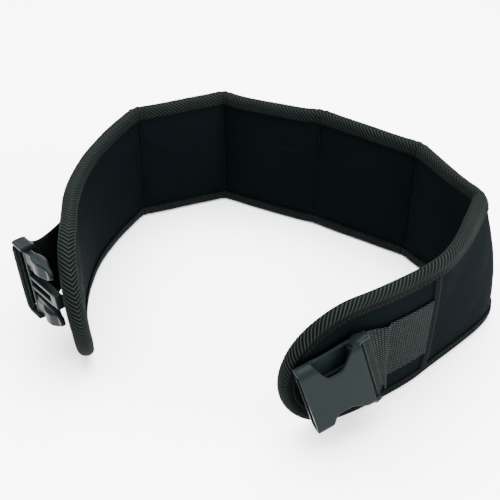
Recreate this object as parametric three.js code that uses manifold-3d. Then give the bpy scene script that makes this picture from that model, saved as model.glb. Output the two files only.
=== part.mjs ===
// Weighted belt: a padded neoprene band that stands open on its lower edge, bound all round with
// herringbone tape, with a webbing strap and half of a side-release buckle at each end.
// Millimetres, +Z up. The open side faces -Y and the middle of the back is at +Y.
import * as THREE from "three";
import { mergeVertices } from "three/addons/utils/BufferGeometryUtils.js";
import Module from "manifold-3d";

const wasm = await Module();
wasm.setup();

// Driving dimensions of the band
const BAND_HEIGHT = 105;
const END_RADIUS = BAND_HEIGHT / 2;
const EDGE_DEPTH = 3.7; // how far in from the edge the padding is rounded
const SEAM_HALF = 2.3; // half the thickness along a stitched seam
const FOLD_LENGTH = 9; // length over which a seam turns the band
const BEND_LENGTH = 30; // length over which a plain bend turns it

// Driving dimensions of the tape
const TAPE_THICKNESS = 1;
const TAPE_WIDTH_ON_FACE = 10;
const TAPE_FLAT = 1.3; // half the flat that the tape has along the very edge
const GAP = 0.3;

// Driving dimensions of the webbing and of the hems that it comes out of
const WEBBING_WIDTH = 50;
const WEBBING_THICKNESS = 1.5;
const HEM_FROM_TIP = 119;
const HEM_WIDTH = 5.2;
const HEM_SLANT_RIGHT = 6.5; // top of the right hem is this much nearer the tip than its bottom
const HEM_THICKNESS = 2.3;
const FLAT_RUN_RIGHT = 41; // webbing lies on the band for this length past the hem
const FLAT_RUN_LEFT = 16;
const STRAP_GAP = 0.45;
const LEFT_STRAP_DROP = 1.5; // the left strap hangs this much lower just before its bar
const RIDGE_PAST_CREASE = 4; // the ridge where the lower edge of the right strap swings out
const RIDGE_OUT_TOP = 7.6;
const RIDGE_OUT_BOTTOM = 15;

// Driving dimensions of the buckle
const BAR_RADIUS = 2;
const BAR_SPAN = 51;
const CHEEK = 3.2;
const BUCKLE_WIDTH = BAR_SPAN + 2 * CHEEK;
const SOCKET_LENGTH = 43;
const SOCKET_DEPTH = 11;
const PLATE = 2.1;
const PLUG_BASE_LENGTH = 15;
const PLUG_BASE_DEPTH = 10.4;
const PLUG_WIDTH = BUCKLE_WIDTH + 1.2;
const CROSS_BLOCK_DEPTH = 6; // the block between the plug's cheeks, which carries the prongs
const CROSS_BLOCK_END = 5.5;
const PRONG_REACH = 39.5;
const GUIDE_REACH = 42.5;

// One row for each seam, bend or tip, from the left tip round the back to the right tip.
// x, y: its place on the plan, on the band's middle line. lean: how far the top edge stands outside
// the bottom one. belly: how far the wall bulges outwards half way up. edge: half the thickness of
// the padding where the tape grips it. turn: length of the turn there.
// For the stretch that ends at the row, bow: how far it bows outwards, sag: how far its top edge
// dips, pad: the full thickness in its middle. What a row leaves out is filled in below.
const ROWS = [
  { name: "left tip", x: -121.4, y: -92, lean: 9, belly: -1, edge: 4.5, pad: 9.8 },
  { name: "left side", x: -134.5, y: -16, lean: -2.5, edge: 4.1, turn: BEND_LENGTH, pad: 9.6 },
  { name: "left shoulder", x: -128.5, y: 54, lean: -4.5, edge: 3.8, turn: BEND_LENGTH, bow: 2.5, pad: 11 },
  { name: "seam A", x: -101.5, y: 118, lean: -3.5, turn: FOLD_LENGTH, bow: 1.5, pad: 11, seam: true },
  { name: "seam B", x: -30, y: 147, lean: -2, turn: FOLD_LENGTH, sag: 0.4, pad: 12, seam: true },
  { name: "seam C", x: 48.5, y: 111, lean: 5, turn: FOLD_LENGTH, bow: -1, sag: 1.4, pad: 12, seam: true },
  { name: "seam D", x: 120, y: 61.5, lean: 1, turn: FOLD_LENGTH, sag: 0.4, pad: 12, seam: true },
  { name: "seam E", x: 164, y: -4, lean: -18, belly: 6, turn: BEND_LENGTH, bow: -2.5, pad: 12, seam: true },
  { name: "right hem", x: 111, y: -80.5, lean: 8, edge: 3.7, turn: BEND_LENGTH, bow: 2.5, pad: 12 },
  { name: "right tip", x: 9, y: -140.5, lean: 8, edge: 3.8, bow: 5, pad: 9.6 },
].map((row) => ({ belly: 0, edge: 3.6, turn: 0, bow: 0, sag: 0, seam: false, ...row }));

// The middle line: straight or bowed stretches, each corner rounded over its turn length
const STEP = 0.5;

function rawMiddleLine() {
  const points = [];
  for (let k = 1; k < ROWS.length; k++) {
    const a = new THREE.Vector2(ROWS[k - 1].x, ROWS[k - 1].y);
    const b = new THREE.Vector2(ROWS[k].x, ROWS[k].y);
    const along = b.clone().sub(a);
    const outward = new THREE.Vector2(-along.y, along.x).normalize();
    const count = Math.round(along.length() / STEP);
    for (let i = k === 1 ? 0 : 1; i <= count; i++) {
      const t = i / count;
      const bowed = ROWS[k].bow * 4 * t * (1 - t);
      points.push(a.clone().addScaledVector(along, t).addScaledVector(outward, bowed));
    }
    ROWS[k].at = points.length - 1;
  }
  ROWS[0].at = 0;
  return points;
}

function roundedMiddleLine() {
  const raw = rawMiddleLine();
  return raw.map((point, i) => {
    let half = 0;
    for (const row of ROWS) {
      const reach = row.turn / 2 / STEP;
      const off = Math.abs(i - row.at);
      if (off < 2 * reach) half = Math.max(half, Math.min(reach, 2 * reach - off));
    }
    half = Math.floor(Math.min(half, i, raw.length - 1 - i));
    const mean = new THREE.Vector2();
    for (let j = i - half; j <= i + half; j++) mean.add(raw[j]);
    return mean.divideScalar(2 * half + 1);
  });
}

const LINE = roundedMiddleLine();
const LENGTHS = [0];
for (let i = 1; i < LINE.length; i++) LENGTHS.push(LENGTHS[i - 1] + LINE[i].distanceTo(LINE[i - 1]));
const TOTAL = LENGTHS[LENGTHS.length - 1];
for (const row of ROWS) row.s = LENGTHS[row.at];

// Index on the middle line, with its fraction, at arc length s
function indexAt(s) {
  const clamped = Math.min(Math.max(s, 0), TOTAL);
  let low = 0;
  let high = LENGTHS.length - 1;
  while (high - low > 1) {
    const middle = (low + high) >> 1;
    if (LENGTHS[middle] <= clamped) low = middle;
    else high = middle;
  }
  return low + (clamped - LENGTHS[low]) / (LENGTHS[high] - LENGTHS[low]);
}

function middleAt(s) {
  const index = indexAt(s);
  const low = Math.min(Math.floor(index), LINE.length - 2);
  return LINE[low].clone().lerp(LINE[low + 1], index - low);
}

function outwardAt(s) {
  const ahead = middleAt(s + 2);
  const behind = middleAt(s - 2);
  return new THREE.Vector2(behind.y - ahead.y, ahead.x - behind.x).normalize();
}

function smooth(t) {
  const x = Math.min(Math.max(t, 0), 1);
  return x * x * (3 - 2 * x);
}

// A column of the table between its rows: it changes smoothly from one row to the next
function columnAt(column, s) {
  let k = 1;
  while (k < ROWS.length - 1 && s > ROWS[k].s) k++;
  const t = (s - ROWS[k - 1].s) / (ROWS[k].s - ROWS[k - 1].s);
  return THREE.MathUtils.lerp(ROWS[k - 1][column], ROWS[k][column], smooth(t));
}

// A point of the band: s along it, h above its lower edge, w out from its middle surface
function onBand(s, h, w) {
  const point = middleAt(s);
  const outward = outwardAt(s);
  const up = (2 * h) / BAND_HEIGHT - 1;
  const reach = w + (columnAt("lean", s) * up) / 2 + columnAt("belly", s) * (1 - up * up);
  const z = h * (1 - dipAt(s) / BAND_HEIGHT);
  return new THREE.Vector3(point.x + outward.x * reach, point.y + outward.y * reach, z);
}

// How far the top edge dips at s: nothing at the seams and most half way between them
function dipAt(s) {
  let k = 1;
  while (k < ROWS.length - 1 && s > ROWS[k].s) k++;
  const t = (s - ROWS[k - 1].s) / (ROWS[k].s - ROWS[k - 1].s);
  return ROWS[k].sag * smooth(1.6 * Math.sin(Math.PI * Math.min(Math.max(t, 0), 1)));
}

// Half the thickness of the padding at s, at the distance from the outline
const HEM_LEFT_S = HEM_FROM_TIP;
const HEM_RIGHT_S = TOTAL - HEM_FROM_TIP;

function padHalf(s, fromOutline) {
  let k = 1;
  while (k < ROWS.length - 1 && s > ROWS[k].s) k++;
  const start = ROWS[k - 1];
  const end = ROWS[k];
  const t = (s - start.s) / (end.s - start.s);
  const startHalf = start.seam ? SEAM_HALF : Math.min(start.pad, end.pad) / 2;
  const endHalf = end.seam ? SEAM_HALF : Math.min(end.pad, (ROWS[k + 1] ?? end).pad) / 2;
  const ends = THREE.MathUtils.lerp(startHalf, endHalf, t);
  const crown = Math.pow(Math.sin(Math.PI * Math.min(Math.max(t, 0), 1)), 0.45);
  const middle = ends + (end.pad / 2 - ends) * crown;
  const edge = columnAt("edge", s);
  const inset = Math.min(Math.max((fromOutline - TAPE_WIDTH_ON_FACE - 1.5) / 38, 0), 1);
  return edge + (middle - edge) * (1 - Math.pow(1 - inset, 3));
}

// Places along the band where its meshes have a station: close together at the seams
const POCKET_STEPS = [0.05, 0.15, 0.32, 0.5, 0.68, 0.85, 0.95, 1];
const END_STEPS = [0.25, 0.5, 0.75, 1];

function stations() {
  const marks = [
    { s: END_RADIUS },
    { s: HEM_LEFT_S, steps: END_STEPS },
    { s: ROWS[2].s, steps: END_STEPS },
    { s: ROWS[3].s, steps: POCKET_STEPS },
    { s: ROWS[4].s, steps: POCKET_STEPS },
    { s: ROWS[5].s, steps: POCKET_STEPS },
    { s: ROWS[6].s, steps: POCKET_STEPS },
    { s: ROWS[7].s, steps: POCKET_STEPS },
    { s: HEM_RIGHT_S, steps: [0.06, 0.16, 0.3, 0.45, 0.6, 0.75, 0.88, 1] },
    { s: TOTAL - END_RADIUS, steps: END_STEPS },
  ];
  const list = [marks[0].s];
  for (let k = 1; k < marks.length; k++) {
    for (const t of marks[k].steps) list.push(THREE.MathUtils.lerp(marks[k - 1].s, marks[k].s, t));
  }
  return list;
}

// The outline of the band seen flat is a long stadium. Each sample of it gives the point at a
// distance inside the outline: along the top edge, round the right tip, back along the bottom edge
// and round the left tip.
const TIP_STEPS = 10;

function outlineSamples() {
  const list = stations();
  const samples = list.map((s) => (d) => [s, BAND_HEIGHT - d]);
  const roundTip = (centre, startAngle) => {
    for (let i = 1; i < TIP_STEPS; i++) {
      const angle = startAngle - (Math.PI * i) / TIP_STEPS;
      const along = (d) => centre + (END_RADIUS - d) * Math.cos(angle);
      samples.push((d) => [along(d), END_RADIUS + (END_RADIUS - d) * Math.sin(angle)]);
    }
  };
  roundTip(TOTAL - END_RADIUS, Math.PI / 2);
  for (const s of [...list].reverse()) samples.push((d) => [s, d]);
  roundTip(END_RADIUS, -Math.PI / 2);
  return samples;
}

// A closed body from a list of rings of points: quads between neighbours, shared points merged and
// empty triangles left out. Rings may close on themselves, and so may the list.
function bodyFromRings(rings, { ringsClosed, listClosed, capped }) {
  const position = [];
  const index = [];
  const count = rings[0].length;
  for (const ring of rings) for (const p of ring) position.push(p.x, p.y, p.z);
  const ringEnd = ringsClosed ? count : count - 1;
  const listEnd = listClosed ? rings.length : rings.length - 1;
  for (let i = 0; i < listEnd; i++) {
    for (let j = 0; j < ringEnd; j++) {
      const a = i * count + j;
      const b = i * count + ((j + 1) % count);
      const c = ((i + 1) % rings.length) * count + j;
      const d = ((i + 1) % rings.length) * count + ((j + 1) % count);
      index.push(a, c, b, b, c, d);
    }
  }
  if (capped) {
    const last = (rings.length - 1) * count;
    for (let j = 1; j < count - 1; j++) {
      index.push(0, j, j + 1);
      index.push(last, last + j + 1, last + j);
    }
  }
  return cleaned(position, index);
}

function cleaned(position, index) {
  const geometry = new THREE.BufferGeometry();
  geometry.setAttribute("position", new THREE.Float32BufferAttribute(position, 3));
  geometry.setIndex(index);
  const merged = mergeVertices(geometry, 1e-3);
  const kept = [];
  const corners = merged.index.array;
  for (let i = 0; i < corners.length; i += 3) {
    const [a, b, c] = [corners[i], corners[i + 1], corners[i + 2]];
    if (a !== b && b !== c && c !== a) kept.push(a, b, c);
  }
  merged.setIndex(kept);
  if (signedVolume(merged) < 0) {
    for (let i = 0; i < kept.length; i += 3) [kept[i + 1], kept[i + 2]] = [kept[i + 2], kept[i + 1]];
    merged.setIndex(kept);
  }
  merged.computeVertexNormals();
  return merged;
}

function signedVolume(geometry) {
  const p = geometry.attributes.position;
  const corners = geometry.index.array;
  const [a, b, c] = [new THREE.Vector3(), new THREE.Vector3(), new THREE.Vector3()];
  let volume = 0;
  for (let i = 0; i < corners.length; i += 3) {
    a.fromBufferAttribute(p, corners[i]);
    b.fromBufferAttribute(p, corners[i + 1]);
    c.fromBufferAttribute(p, corners[i + 2]);
    volume += a.dot(b.cross(c)) / 6;
  }
  return volume;
}

// Padded body: the profile goes from the middle of the inner face out to the edge and back
function bandBody() {
  const inset = TAPE_THICKNESS + GAP;
  const edgeCentre = inset + EDGE_DEPTH;
  const turned = Math.PI / 4;
  const roundedDepth = edgeCentre - EDGE_DEPTH * Math.sin(turned);
  const faceDepths = [END_RADIUS, 28, 18, TAPE_WIDTH_ON_FACE + 1.5, edgeCentre];
  const profile = [
    ...faceDepths.map((d) => ({ d, side: -1 })),
    { d: roundedDepth, side: -Math.cos(turned) },
    { d: inset, side: 0 },
    { d: roundedDepth, side: Math.cos(turned) },
    ...[...faceDepths].reverse().map((d) => ({ d, side: 1 })),
  ];
  const rings = outlineSamples().map((sample) =>
    profile.map((row) => {
      const [s, h] = sample(row.d);
      return onBand(s, h, row.side * padHalf(s, row.d));
    }),
  );
  return bodyFromRings(rings, { ringsClosed: false, listClosed: true, capped: false });
}

// Tape: a C-shaped section carried round the whole outline
function bandTape() {
  const edgeCentre = TAPE_THICKNESS + GAP + EDGE_DEPTH;
  const turned = Math.PI / 4;
  const innerDepth = EDGE_DEPTH + GAP;
  const outerDepth = innerDepth + TAPE_THICKNESS;
  const half = [
    { d: 0, side: TAPE_FLAT / outerDepth, out: true },
    { d: edgeCentre - outerDepth * Math.sin(turned), side: Math.cos(turned), out: true },
    { d: edgeCentre, side: 1, out: true },
    { d: TAPE_WIDTH_ON_FACE, side: 1, out: true },
    { d: TAPE_WIDTH_ON_FACE, side: 1, out: false },
    { d: edgeCentre, side: 1, out: false },
    { d: edgeCentre - innerDepth * Math.sin(turned), side: Math.cos(turned), out: false },
  ];
  const innerApex = { d: edgeCentre - innerDepth, side: 0, out: false };
  const mirrored = [...half].reverse().map((row) => ({ ...row, side: -row.side }));
  const section = [...half, innerApex, ...mirrored].reverse();
  const rings = outlineSamples().map((sample) =>
    section.map((row) => {
      const [s, h] = sample(row.d);
      const reach = columnAt("edge", s) + GAP + (row.out ? TAPE_THICKNESS : 0);
      return onBand(s, h, row.side * reach);
    }),
  );
  return bodyFromRings(rings, { ringsClosed: true, listClosed: true, capped: false });
}

// Hem strip: a raised bead across the outer face, between the two runs of tape
function hemStrip(foot, slant) {
  const clear = TAPE_WIDTH_ON_FACE + GAP;
  const heights = [clear, 18, 28, END_RADIUS, 77, 87, BAND_HEIGHT - clear];
  const edges = [-HEM_WIDTH / 2, -HEM_WIDTH / 4, HEM_WIDTH / 4, HEM_WIDTH / 2];
  const rises = [0.7, 1, 1, 0.7];
  const rings = heights.map((h) => {
    const s = foot + (slant * h) / BAND_HEIGHT;
    const fromOutline = Math.min(h, BAND_HEIGHT - h);
    const seat = Math.max(...edges.map((e) => padHalf(s + e, fromOutline))) + GAP;
    const under = [edges[0], edges[edges.length - 1]].map((e) => onBand(s + e, h, seat));
    const over = edges.map((e, i) => onBand(s + e, h, seat + HEM_THICKNESS * rises[i]));
    return [under[0], ...over, under[1]];
  });
  return bodyFromRings(rings, { ringsClosed: true, listClosed: false, capped: true });
}

// Webbing: a strip between two edge lines, given row by row, with its thickness square to it
function webbing(rows) {
  const centres = rows.map(({ top, bottom }) => top.clone().add(bottom).multiplyScalar(0.5));
  const rings = rows.map(({ top, bottom }, i) => {
    const before = centres[Math.max(i - 1, 0)];
    const after = centres[Math.min(i + 1, rows.length - 1)];
    const along = after.clone().sub(before);
    const across = top.clone().sub(bottom);
    const normal = along.cross(across).normalize().multiplyScalar(WEBBING_THICKNESS / 2);
    return [
      top.clone().add(normal),
      top.clone().sub(normal),
      bottom.clone().sub(normal),
      bottom.clone().add(normal),
    ];
  });
  return bodyFromRings(rings, { ringsClosed: true, listClosed: false, capped: true });
}

// Rows between given ones, on a smooth line through them
function smoothRows(rows, count) {
  const tops = new THREE.CatmullRomCurve3(rows.map((row) => row.top));
  const bottoms = new THREE.CatmullRomCurve3(rows.map((row) => row.bottom));
  const result = [];
  for (let i = 0; i <= count; i++) {
    result.push({ top: tops.getPoint(i / count), bottom: bottoms.getPoint(i / count) });
  }
  return result;
}

// Rows of webbing that lies on the band; each may be slanted like the hem that it starts from
function flatRows(list) {
  const low = END_RADIUS - WEBBING_WIDTH / 2;
  const high = END_RADIUS + WEBBING_WIDTH / 2;
  return list.map(({ s, slant = 0 }) => {
    const [topS, bottomS] = [high, low].map((h) => s + (slant * h) / BAND_HEIGHT);
    const w = padHalf((topS + bottomS) / 2, END_RADIUS) + STRAP_GAP + WEBBING_THICKNESS / 2;
    return { top: onBand(topS, high, w), bottom: onBand(bottomS, low, w) };
  });
}

// A buckle's own axes: u from its bar to the other end, v across it and up, n its outer side
function buckleFrame(origin, along, up) {
  const u = along.clone().normalize();
  const v = up.clone().addScaledVector(u, -up.dot(u)).normalize();
  const n = u.clone().cross(v);
  return { origin, u, v, n };
}

function inFrame(frame, u, v, n) {
  return frame.origin
    .clone()
    .addScaledVector(frame.u, u)
    .addScaledVector(frame.v, v)
    .addScaledVector(frame.n, n);
}

// Rows of the loop round a bar, from one angle to another, seen along v with n up
function loopRows(frame, bar, fromAngle, toAngle, count) {
  const radius = BAR_RADIUS + 0.4 + WEBBING_THICKNESS / 2;
  const rows = [];
  for (let i = 0; i <= count; i++) {
    const angle = THREE.MathUtils.degToRad(THREE.MathUtils.lerp(fromAngle, toAngle, i / count));
    const u = bar.u + radius * Math.cos(angle);
    const n = bar.n + radius * Math.sin(angle);
    rows.push(frameRow(frame, u, n));
  }
  return rows;
}

function frameRow(frame, u, n, drop = 0) {
  const half = WEBBING_WIDTH / 2;
  return { top: inFrame(frame, u, half - drop, n), bottom: inFrame(frame, u, -half - drop, n) };
}

const SOCKET_FRAME = buckleFrame(
  new THREE.Vector3(66.1, -137.8, 57),
  new THREE.Vector3(-0.871, -0.404, -0.275),
  new THREE.Vector3(-0.28, -0.065, 0.958),
);
const SOCKET_BAR = { u: -1.5, n: 7 };

const PLUG_FRAME = buckleFrame(
  new THREE.Vector3(-158.4, -45.8, 60.1),
  new THREE.Vector3(0.602, -0.787, 0.133),
  new THREE.Vector3(-0.109, 0.084, 0.99),
);
const PLUG_BAR = { u: -5.3, n: 2.7 };

// Right strap: flat on the band, a crease, then its lower edge swings out before the bar
function strapRight() {
  const start = HEM_RIGHT_S + HEM_WIDTH / 2 + GAP;
  const flat = flatRows([
    { s: start, slant: HEM_SLANT_RIGHT },
    { s: start + 12, slant: 0.7 * HEM_SLANT_RIGHT },
    { s: start + 25, slant: 0.3 * HEM_SLANT_RIGHT },
    { s: start + FLAT_RUN_RIGHT - 3 },
  ]);
  const crease = flatRows([{ s: start + FLAT_RUN_RIGHT }])[0];
  const ridgeAt = start + FLAT_RUN_RIGHT + RIDGE_PAST_CREASE;
  const ridge = {
    top: onBand(ridgeAt, END_RADIUS + WEBBING_WIDTH / 2, RIDGE_OUT_TOP),
    bottom: onBand(ridgeAt, END_RADIUS - WEBBING_WIDTH / 2, RIDGE_OUT_BOTTOM),
  };
  const loop = loopRows(SOCKET_FRAME, SOCKET_BAR, -137, 43, 8);
  const free = smoothRows([crease, ridge, frameRow(SOCKET_FRAME, -8.5, 9.5), loop[0]], 9);
  return webbing([...flat, ...free, ...loop.slice(1)]);
}

// Left strap: leaves the band soon after the hem and loops round the bar on its outer side
function strapLeft() {
  const start = HEM_LEFT_S - HEM_WIDTH / 2 - GAP;
  const flat = flatRows([0, 5, 10, FLAT_RUN_LEFT].map((run) => ({ s: start - run })));
  const loop = loopRows(PLUG_FRAME, PLUG_BAR, 235, -10, 9);
  const hanging = frameRow(PLUG_FRAME, -5, -11, LEFT_STRAP_DROP);
  const betweenCheeks = frameRow(PLUG_FRAME, -6.5, -5.5);
  const free = smoothRows([flat[3], hanging, betweenCheeks, loop[0]], 9);
  return webbing([...flat, ...free.slice(1), ...loop.slice(1)]);
}

// Solids for cutting and joining
function solid(geometry) {
  const plain = geometry.clone();
  plain.deleteAttribute("normal");
  plain.deleteAttribute("uv");
  const merged = mergeVertices(plain, 1e-4);
  const mesh = new wasm.Mesh({
    numProp: 3,
    vertProperties: new Float32Array(merged.attributes.position.array),
    triVerts: new Uint32Array(merged.index.array),
  });
  return new wasm.Manifold(mesh);
}

function geometryOf(manifold) {
  const mesh = manifold.getMesh();
  return cleaned([...mesh.vertProperties], [...mesh.triVerts]);
}

// Slab: an outline in u and v, thick from n0 to n1, with its rims eased by the bevel
function slab(shape, n0, n1, bevel = 0) {
  const geometry = new THREE.ExtrudeGeometry(shape, {
    depth: n1 - n0 - 2 * bevel,
    bevelEnabled: bevel > 0,
    bevelThickness: bevel,
    bevelSize: bevel,
    bevelOffset: -bevel,
    bevelSegments: 2,
    curveSegments: 4,
    steps: 1,
  });
  geometry.translate(0, 0, n0 + bevel);
  return solid(geometry);
}

function block(u0, u1, v0, v1, n0, n1) {
  const geometry = new THREE.BoxGeometry(u1 - u0, v1 - v0, n1 - n0);
  geometry.translate((u0 + u1) / 2, (v0 + v1) / 2, (n0 + n1) / 2);
  return solid(geometry);
}

function bar(place) {
  const geometry = new THREE.CylinderGeometry(BAR_RADIUS, BAR_RADIUS, BAR_SPAN + CHEEK, 12);
  geometry.translate(place.u, 0, place.n);
  return solid(geometry);
}

function roundedOutline(u0, u1, halfWidth, radius) {
  const shape = new THREE.Shape();
  shape.moveTo(u0 + radius, -halfWidth);
  shape.lineTo(u1 - radius, -halfWidth);
  shape.absarc(u1 - radius, -halfWidth + radius, radius, -Math.PI / 2, 0);
  shape.lineTo(u1, halfWidth - radius);
  shape.absarc(u1 - radius, halfWidth - radius, radius, 0, Math.PI / 2);
  shape.lineTo(u0 + radius, halfWidth);
  shape.absarc(u0 + radius, halfWidth - radius, radius, Math.PI / 2, Math.PI);
  shape.lineTo(u0, -halfWidth + radius);
  shape.absarc(u0 + radius, -halfWidth + radius, radius, Math.PI, 1.5 * Math.PI);
  return shape;
}

// Window on a long side of the socket: an S-shaped slope from the bar end, deepest near the mouth
function windowOutline(side, start, deep) {
  const edge = side * (BUCKLE_WIDTH / 2 + 1);
  const floor = side * (BUCKLE_WIDTH / 2 - deep);
  const rim = SOCKET_LENGTH - 10.5;
  const shape = new THREE.Shape();
  shape.moveTo(start, edge);
  shape.bezierCurveTo(start + 8, edge, start + 6.5, floor + side * 2, 24, floor);
  shape.bezierCurveTo(29.5, floor, 30.5, floor + side * 6, rim, edge);
  shape.closePath();
  return shape;
}

// Socket: n runs from 0 on the front face to minus its depth, turned round when it is placed
function buckleSocket() {
  const halfWidth = BUCKLE_WIDTH / 2;
  const shell = slab(roundedOutline(-6.5, SOCKET_LENGTH, halfWidth, 4), 0, SOCKET_DEPTH, 1.5);
  const cavity = block(7.5, SOCKET_LENGTH + 5, -24, 24, PLATE, SOCKET_DEPTH - PLATE);
  const strapGap = block(-12, 0, -BAR_SPAN / 2, BAR_SPAN / 2, -1, SOCKET_DEPTH + 1);
  const loopGap = block(-1, 3.5, -BAR_SPAN / 2, BAR_SPAN / 2, PLATE, SOCKET_DEPTH + 1);
  const upper = slab(windowOutline(1, 2, 15.3), -1, SOCKET_DEPTH - PLATE);
  const lower = slab(windowOutline(-1, -1.5, 9.9), -1, SOCKET_DEPTH - PLATE);
  const cut = shell.subtract(cavity).subtract(strapGap).subtract(loopGap).subtract(upper).subtract(lower);
  return geometryOf(cut.add(bar(SOCKET_BAR)));
}

// One sprung arm of the plug and the leaf-shaped pad that a finger presses
function plugArm(side) {
  const arm = new THREE.Shape();
  arm.moveTo(4, side * 9.5);
  arm.lineTo(30, side * 12.5);
  arm.quadraticCurveTo(PRONG_REACH, side * 14.5, PRONG_REACH, side * 20);
  arm.quadraticCurveTo(PRONG_REACH - 3, side * 24, 27, side * 25.5);
  arm.lineTo(15, side * 25.8);
  arm.lineTo(4, side * 24.8);
  arm.closePath();
  const leaf = new THREE.Shape();
  leaf.moveTo(3, -2.8);
  leaf.quadraticCurveTo(11, -2.2, 14, -2.4);
  leaf.quadraticCurveTo(19, -5.4, 27, -4.2);
  leaf.quadraticCurveTo(32, -2.8, PRONG_REACH, 0);
  leaf.quadraticCurveTo(32, 2.8, 27, 4.2);
  leaf.quadraticCurveTo(19, 5.4, 14, 2.4);
  leaf.quadraticCurveTo(11, 2.2, 3, 2.8);
  leaf.closePath();
  const pad = new THREE.ExtrudeGeometry(leaf, { depth: 14, bevelEnabled: false, curveSegments: 4 });
  pad.rotateX(Math.PI / 2);
  pad.translate(0, side > 0 ? 28 : -14, 0);
  const armBody = slab(arm, -1.8, 1.8);
  const armThick = slab(arm, -5.5, 5.5);
  return armBody.add(solid(pad).intersect(armThick));
}

// Plug: end cheeks and bar, a block, a guide in the middle and two sprung arms
function bucklePlug() {
  const half = PLUG_BASE_LENGTH / 2;
  const halfDepth = PLUG_BASE_DEPTH / 2;
  const halfSpan = BAR_SPAN / 2;
  const halfBlock = CROSS_BLOCK_DEPTH / 2;
  const base = slab(roundedOutline(-half, half, PLUG_WIDTH / 2, 2), -halfDepth, halfDepth, 1.2);
  const between = block(-half - 1, half + 1, -halfSpan, halfSpan, -halfDepth - 1, halfDepth + 1);
  const cross = block(1.8, CROSS_BLOCK_END, -halfSpan - 1, halfSpan + 1, -halfBlock, halfBlock);
  const guide = slab(roundedOutline(4, GUIDE_REACH, 5.5, 1.5), -3, 3, 0.6);
  const guideSlot = block(10, GUIDE_REACH - 8, -2.4, 2.4, -4, 4);
  const frame = base.subtract(between).add(cross).add(bar(PLUG_BAR));
  return geometryOf(frame.add(guide.subtract(guideSlot)).add(plugArm(1)).add(plugArm(-1)));
}

// Finishes
const neoprene = new THREE.MeshStandardMaterial({ color: 0x121416, roughness: 0.82, metalness: 0 });
const tape = new THREE.MeshStandardMaterial({ color: 0x1f2423, roughness: 0.85, metalness: 0 });
const strapCloth = new THREE.MeshStandardMaterial({ color: 0x191b1b, roughness: 0.9, metalness: 0 });
const plastic = new THREE.MeshStandardMaterial({ color: 0x2b3131, roughness: 0.42, metalness: 0 });

const belt = new THREE.Group();

function addPiece(name, geometry, material, frame) {
  const mesh = new THREE.Mesh(geometry, material);
  mesh.name = name;
  if (frame) {
    mesh.quaternion.setFromRotationMatrix(new THREE.Matrix4().makeBasis(frame.u, frame.v, frame.n));
    mesh.position.copy(frame.origin);
  }
  belt.add(mesh);
}

addPiece("belt_body", bandBody(), neoprene);
addPiece("edge_binding", bandTape(), tape);
addPiece("hem_strip_right", hemStrip(HEM_RIGHT_S, HEM_SLANT_RIGHT), neoprene);
addPiece("hem_strip_left", hemStrip(HEM_LEFT_S, 0), neoprene);
addPiece("strap_right", strapRight(), strapCloth);
addPiece("strap_left", strapLeft(), strapCloth);
addPiece("buckle_socket", buckleSocket(), plastic, SOCKET_FRAME);
addPiece("buckle_plug", bucklePlug(), plastic, PLUG_FRAME);

// The origin is on the floor, under the middle of the belt's box
belt.updateMatrixWorld(true);
const box = new THREE.Box3().setFromObject(belt, true);
belt.position.set(-(box.min.x + box.max.x) / 2, -(box.min.y + box.max.y) / 2, -box.min.z);

export default belt;
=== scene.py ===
"""Looks of a weighted neoprene belt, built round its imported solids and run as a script.

The belt stands open on its lower edge. Lengths inside the shape functions are millimetres in the
table's own plan, and are shifted to the row frame and turned into metres when a mesh is made.
"""

import math

import bmesh
import bpy
import numpy as np
from bpy.props import FloatProperty, FloatVectorProperty, PointerProperty
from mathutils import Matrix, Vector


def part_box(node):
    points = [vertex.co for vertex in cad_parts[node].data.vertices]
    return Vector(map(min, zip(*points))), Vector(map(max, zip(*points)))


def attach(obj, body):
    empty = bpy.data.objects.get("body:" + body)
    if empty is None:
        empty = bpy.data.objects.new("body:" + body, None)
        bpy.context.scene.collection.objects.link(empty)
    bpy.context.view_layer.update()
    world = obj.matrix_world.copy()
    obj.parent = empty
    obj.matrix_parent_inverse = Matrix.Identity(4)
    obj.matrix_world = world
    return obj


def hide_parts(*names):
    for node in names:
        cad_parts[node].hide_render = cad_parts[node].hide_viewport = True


bl_info = {
    "name": "Weighted belt",
    "version": (1, 0, 0),
    "blender": (4, 5, 0),
    "location": "3D View > Sidebar > Belt",
    "description": "Builds the cloth, tape, webbing and buckle halves of a weighted belt",
    "category": "Object",
}

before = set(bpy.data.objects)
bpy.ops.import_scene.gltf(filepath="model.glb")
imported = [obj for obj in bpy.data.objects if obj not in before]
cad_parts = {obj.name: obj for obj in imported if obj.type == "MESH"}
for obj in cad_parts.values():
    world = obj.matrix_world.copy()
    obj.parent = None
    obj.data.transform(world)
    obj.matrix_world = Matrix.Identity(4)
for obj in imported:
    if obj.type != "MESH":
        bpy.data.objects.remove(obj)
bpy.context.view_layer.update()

MM = 0.001
BAND_HEIGHT = 105.0
END_RADIUS = BAND_HEIGHT / 2
FOLD_LENGTH = 9.0
BEND_LENGTH = 30.0
TAPE_THICKNESS = 1.0
TAPE_ON_FACE = 10.0
GAP = 0.3
EDGE_DEPTH = 3.7
SEAM_HALF = 2.3
HEM_FROM_TIP = 119.0
HEM_WIDTH = 5.2
HEM_RISE = 2.3
HEM_SLANT_RIGHT = 6.5

# Padding: how far it stays at its edge thickness past the tape, the length over which it swells
# from there, and the power of a sine along a pocket of the solids
FLAT_PAST_TAPE = 1.5
PAD_EASE = 38.0
SOLID_CROWN = 0.45

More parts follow.
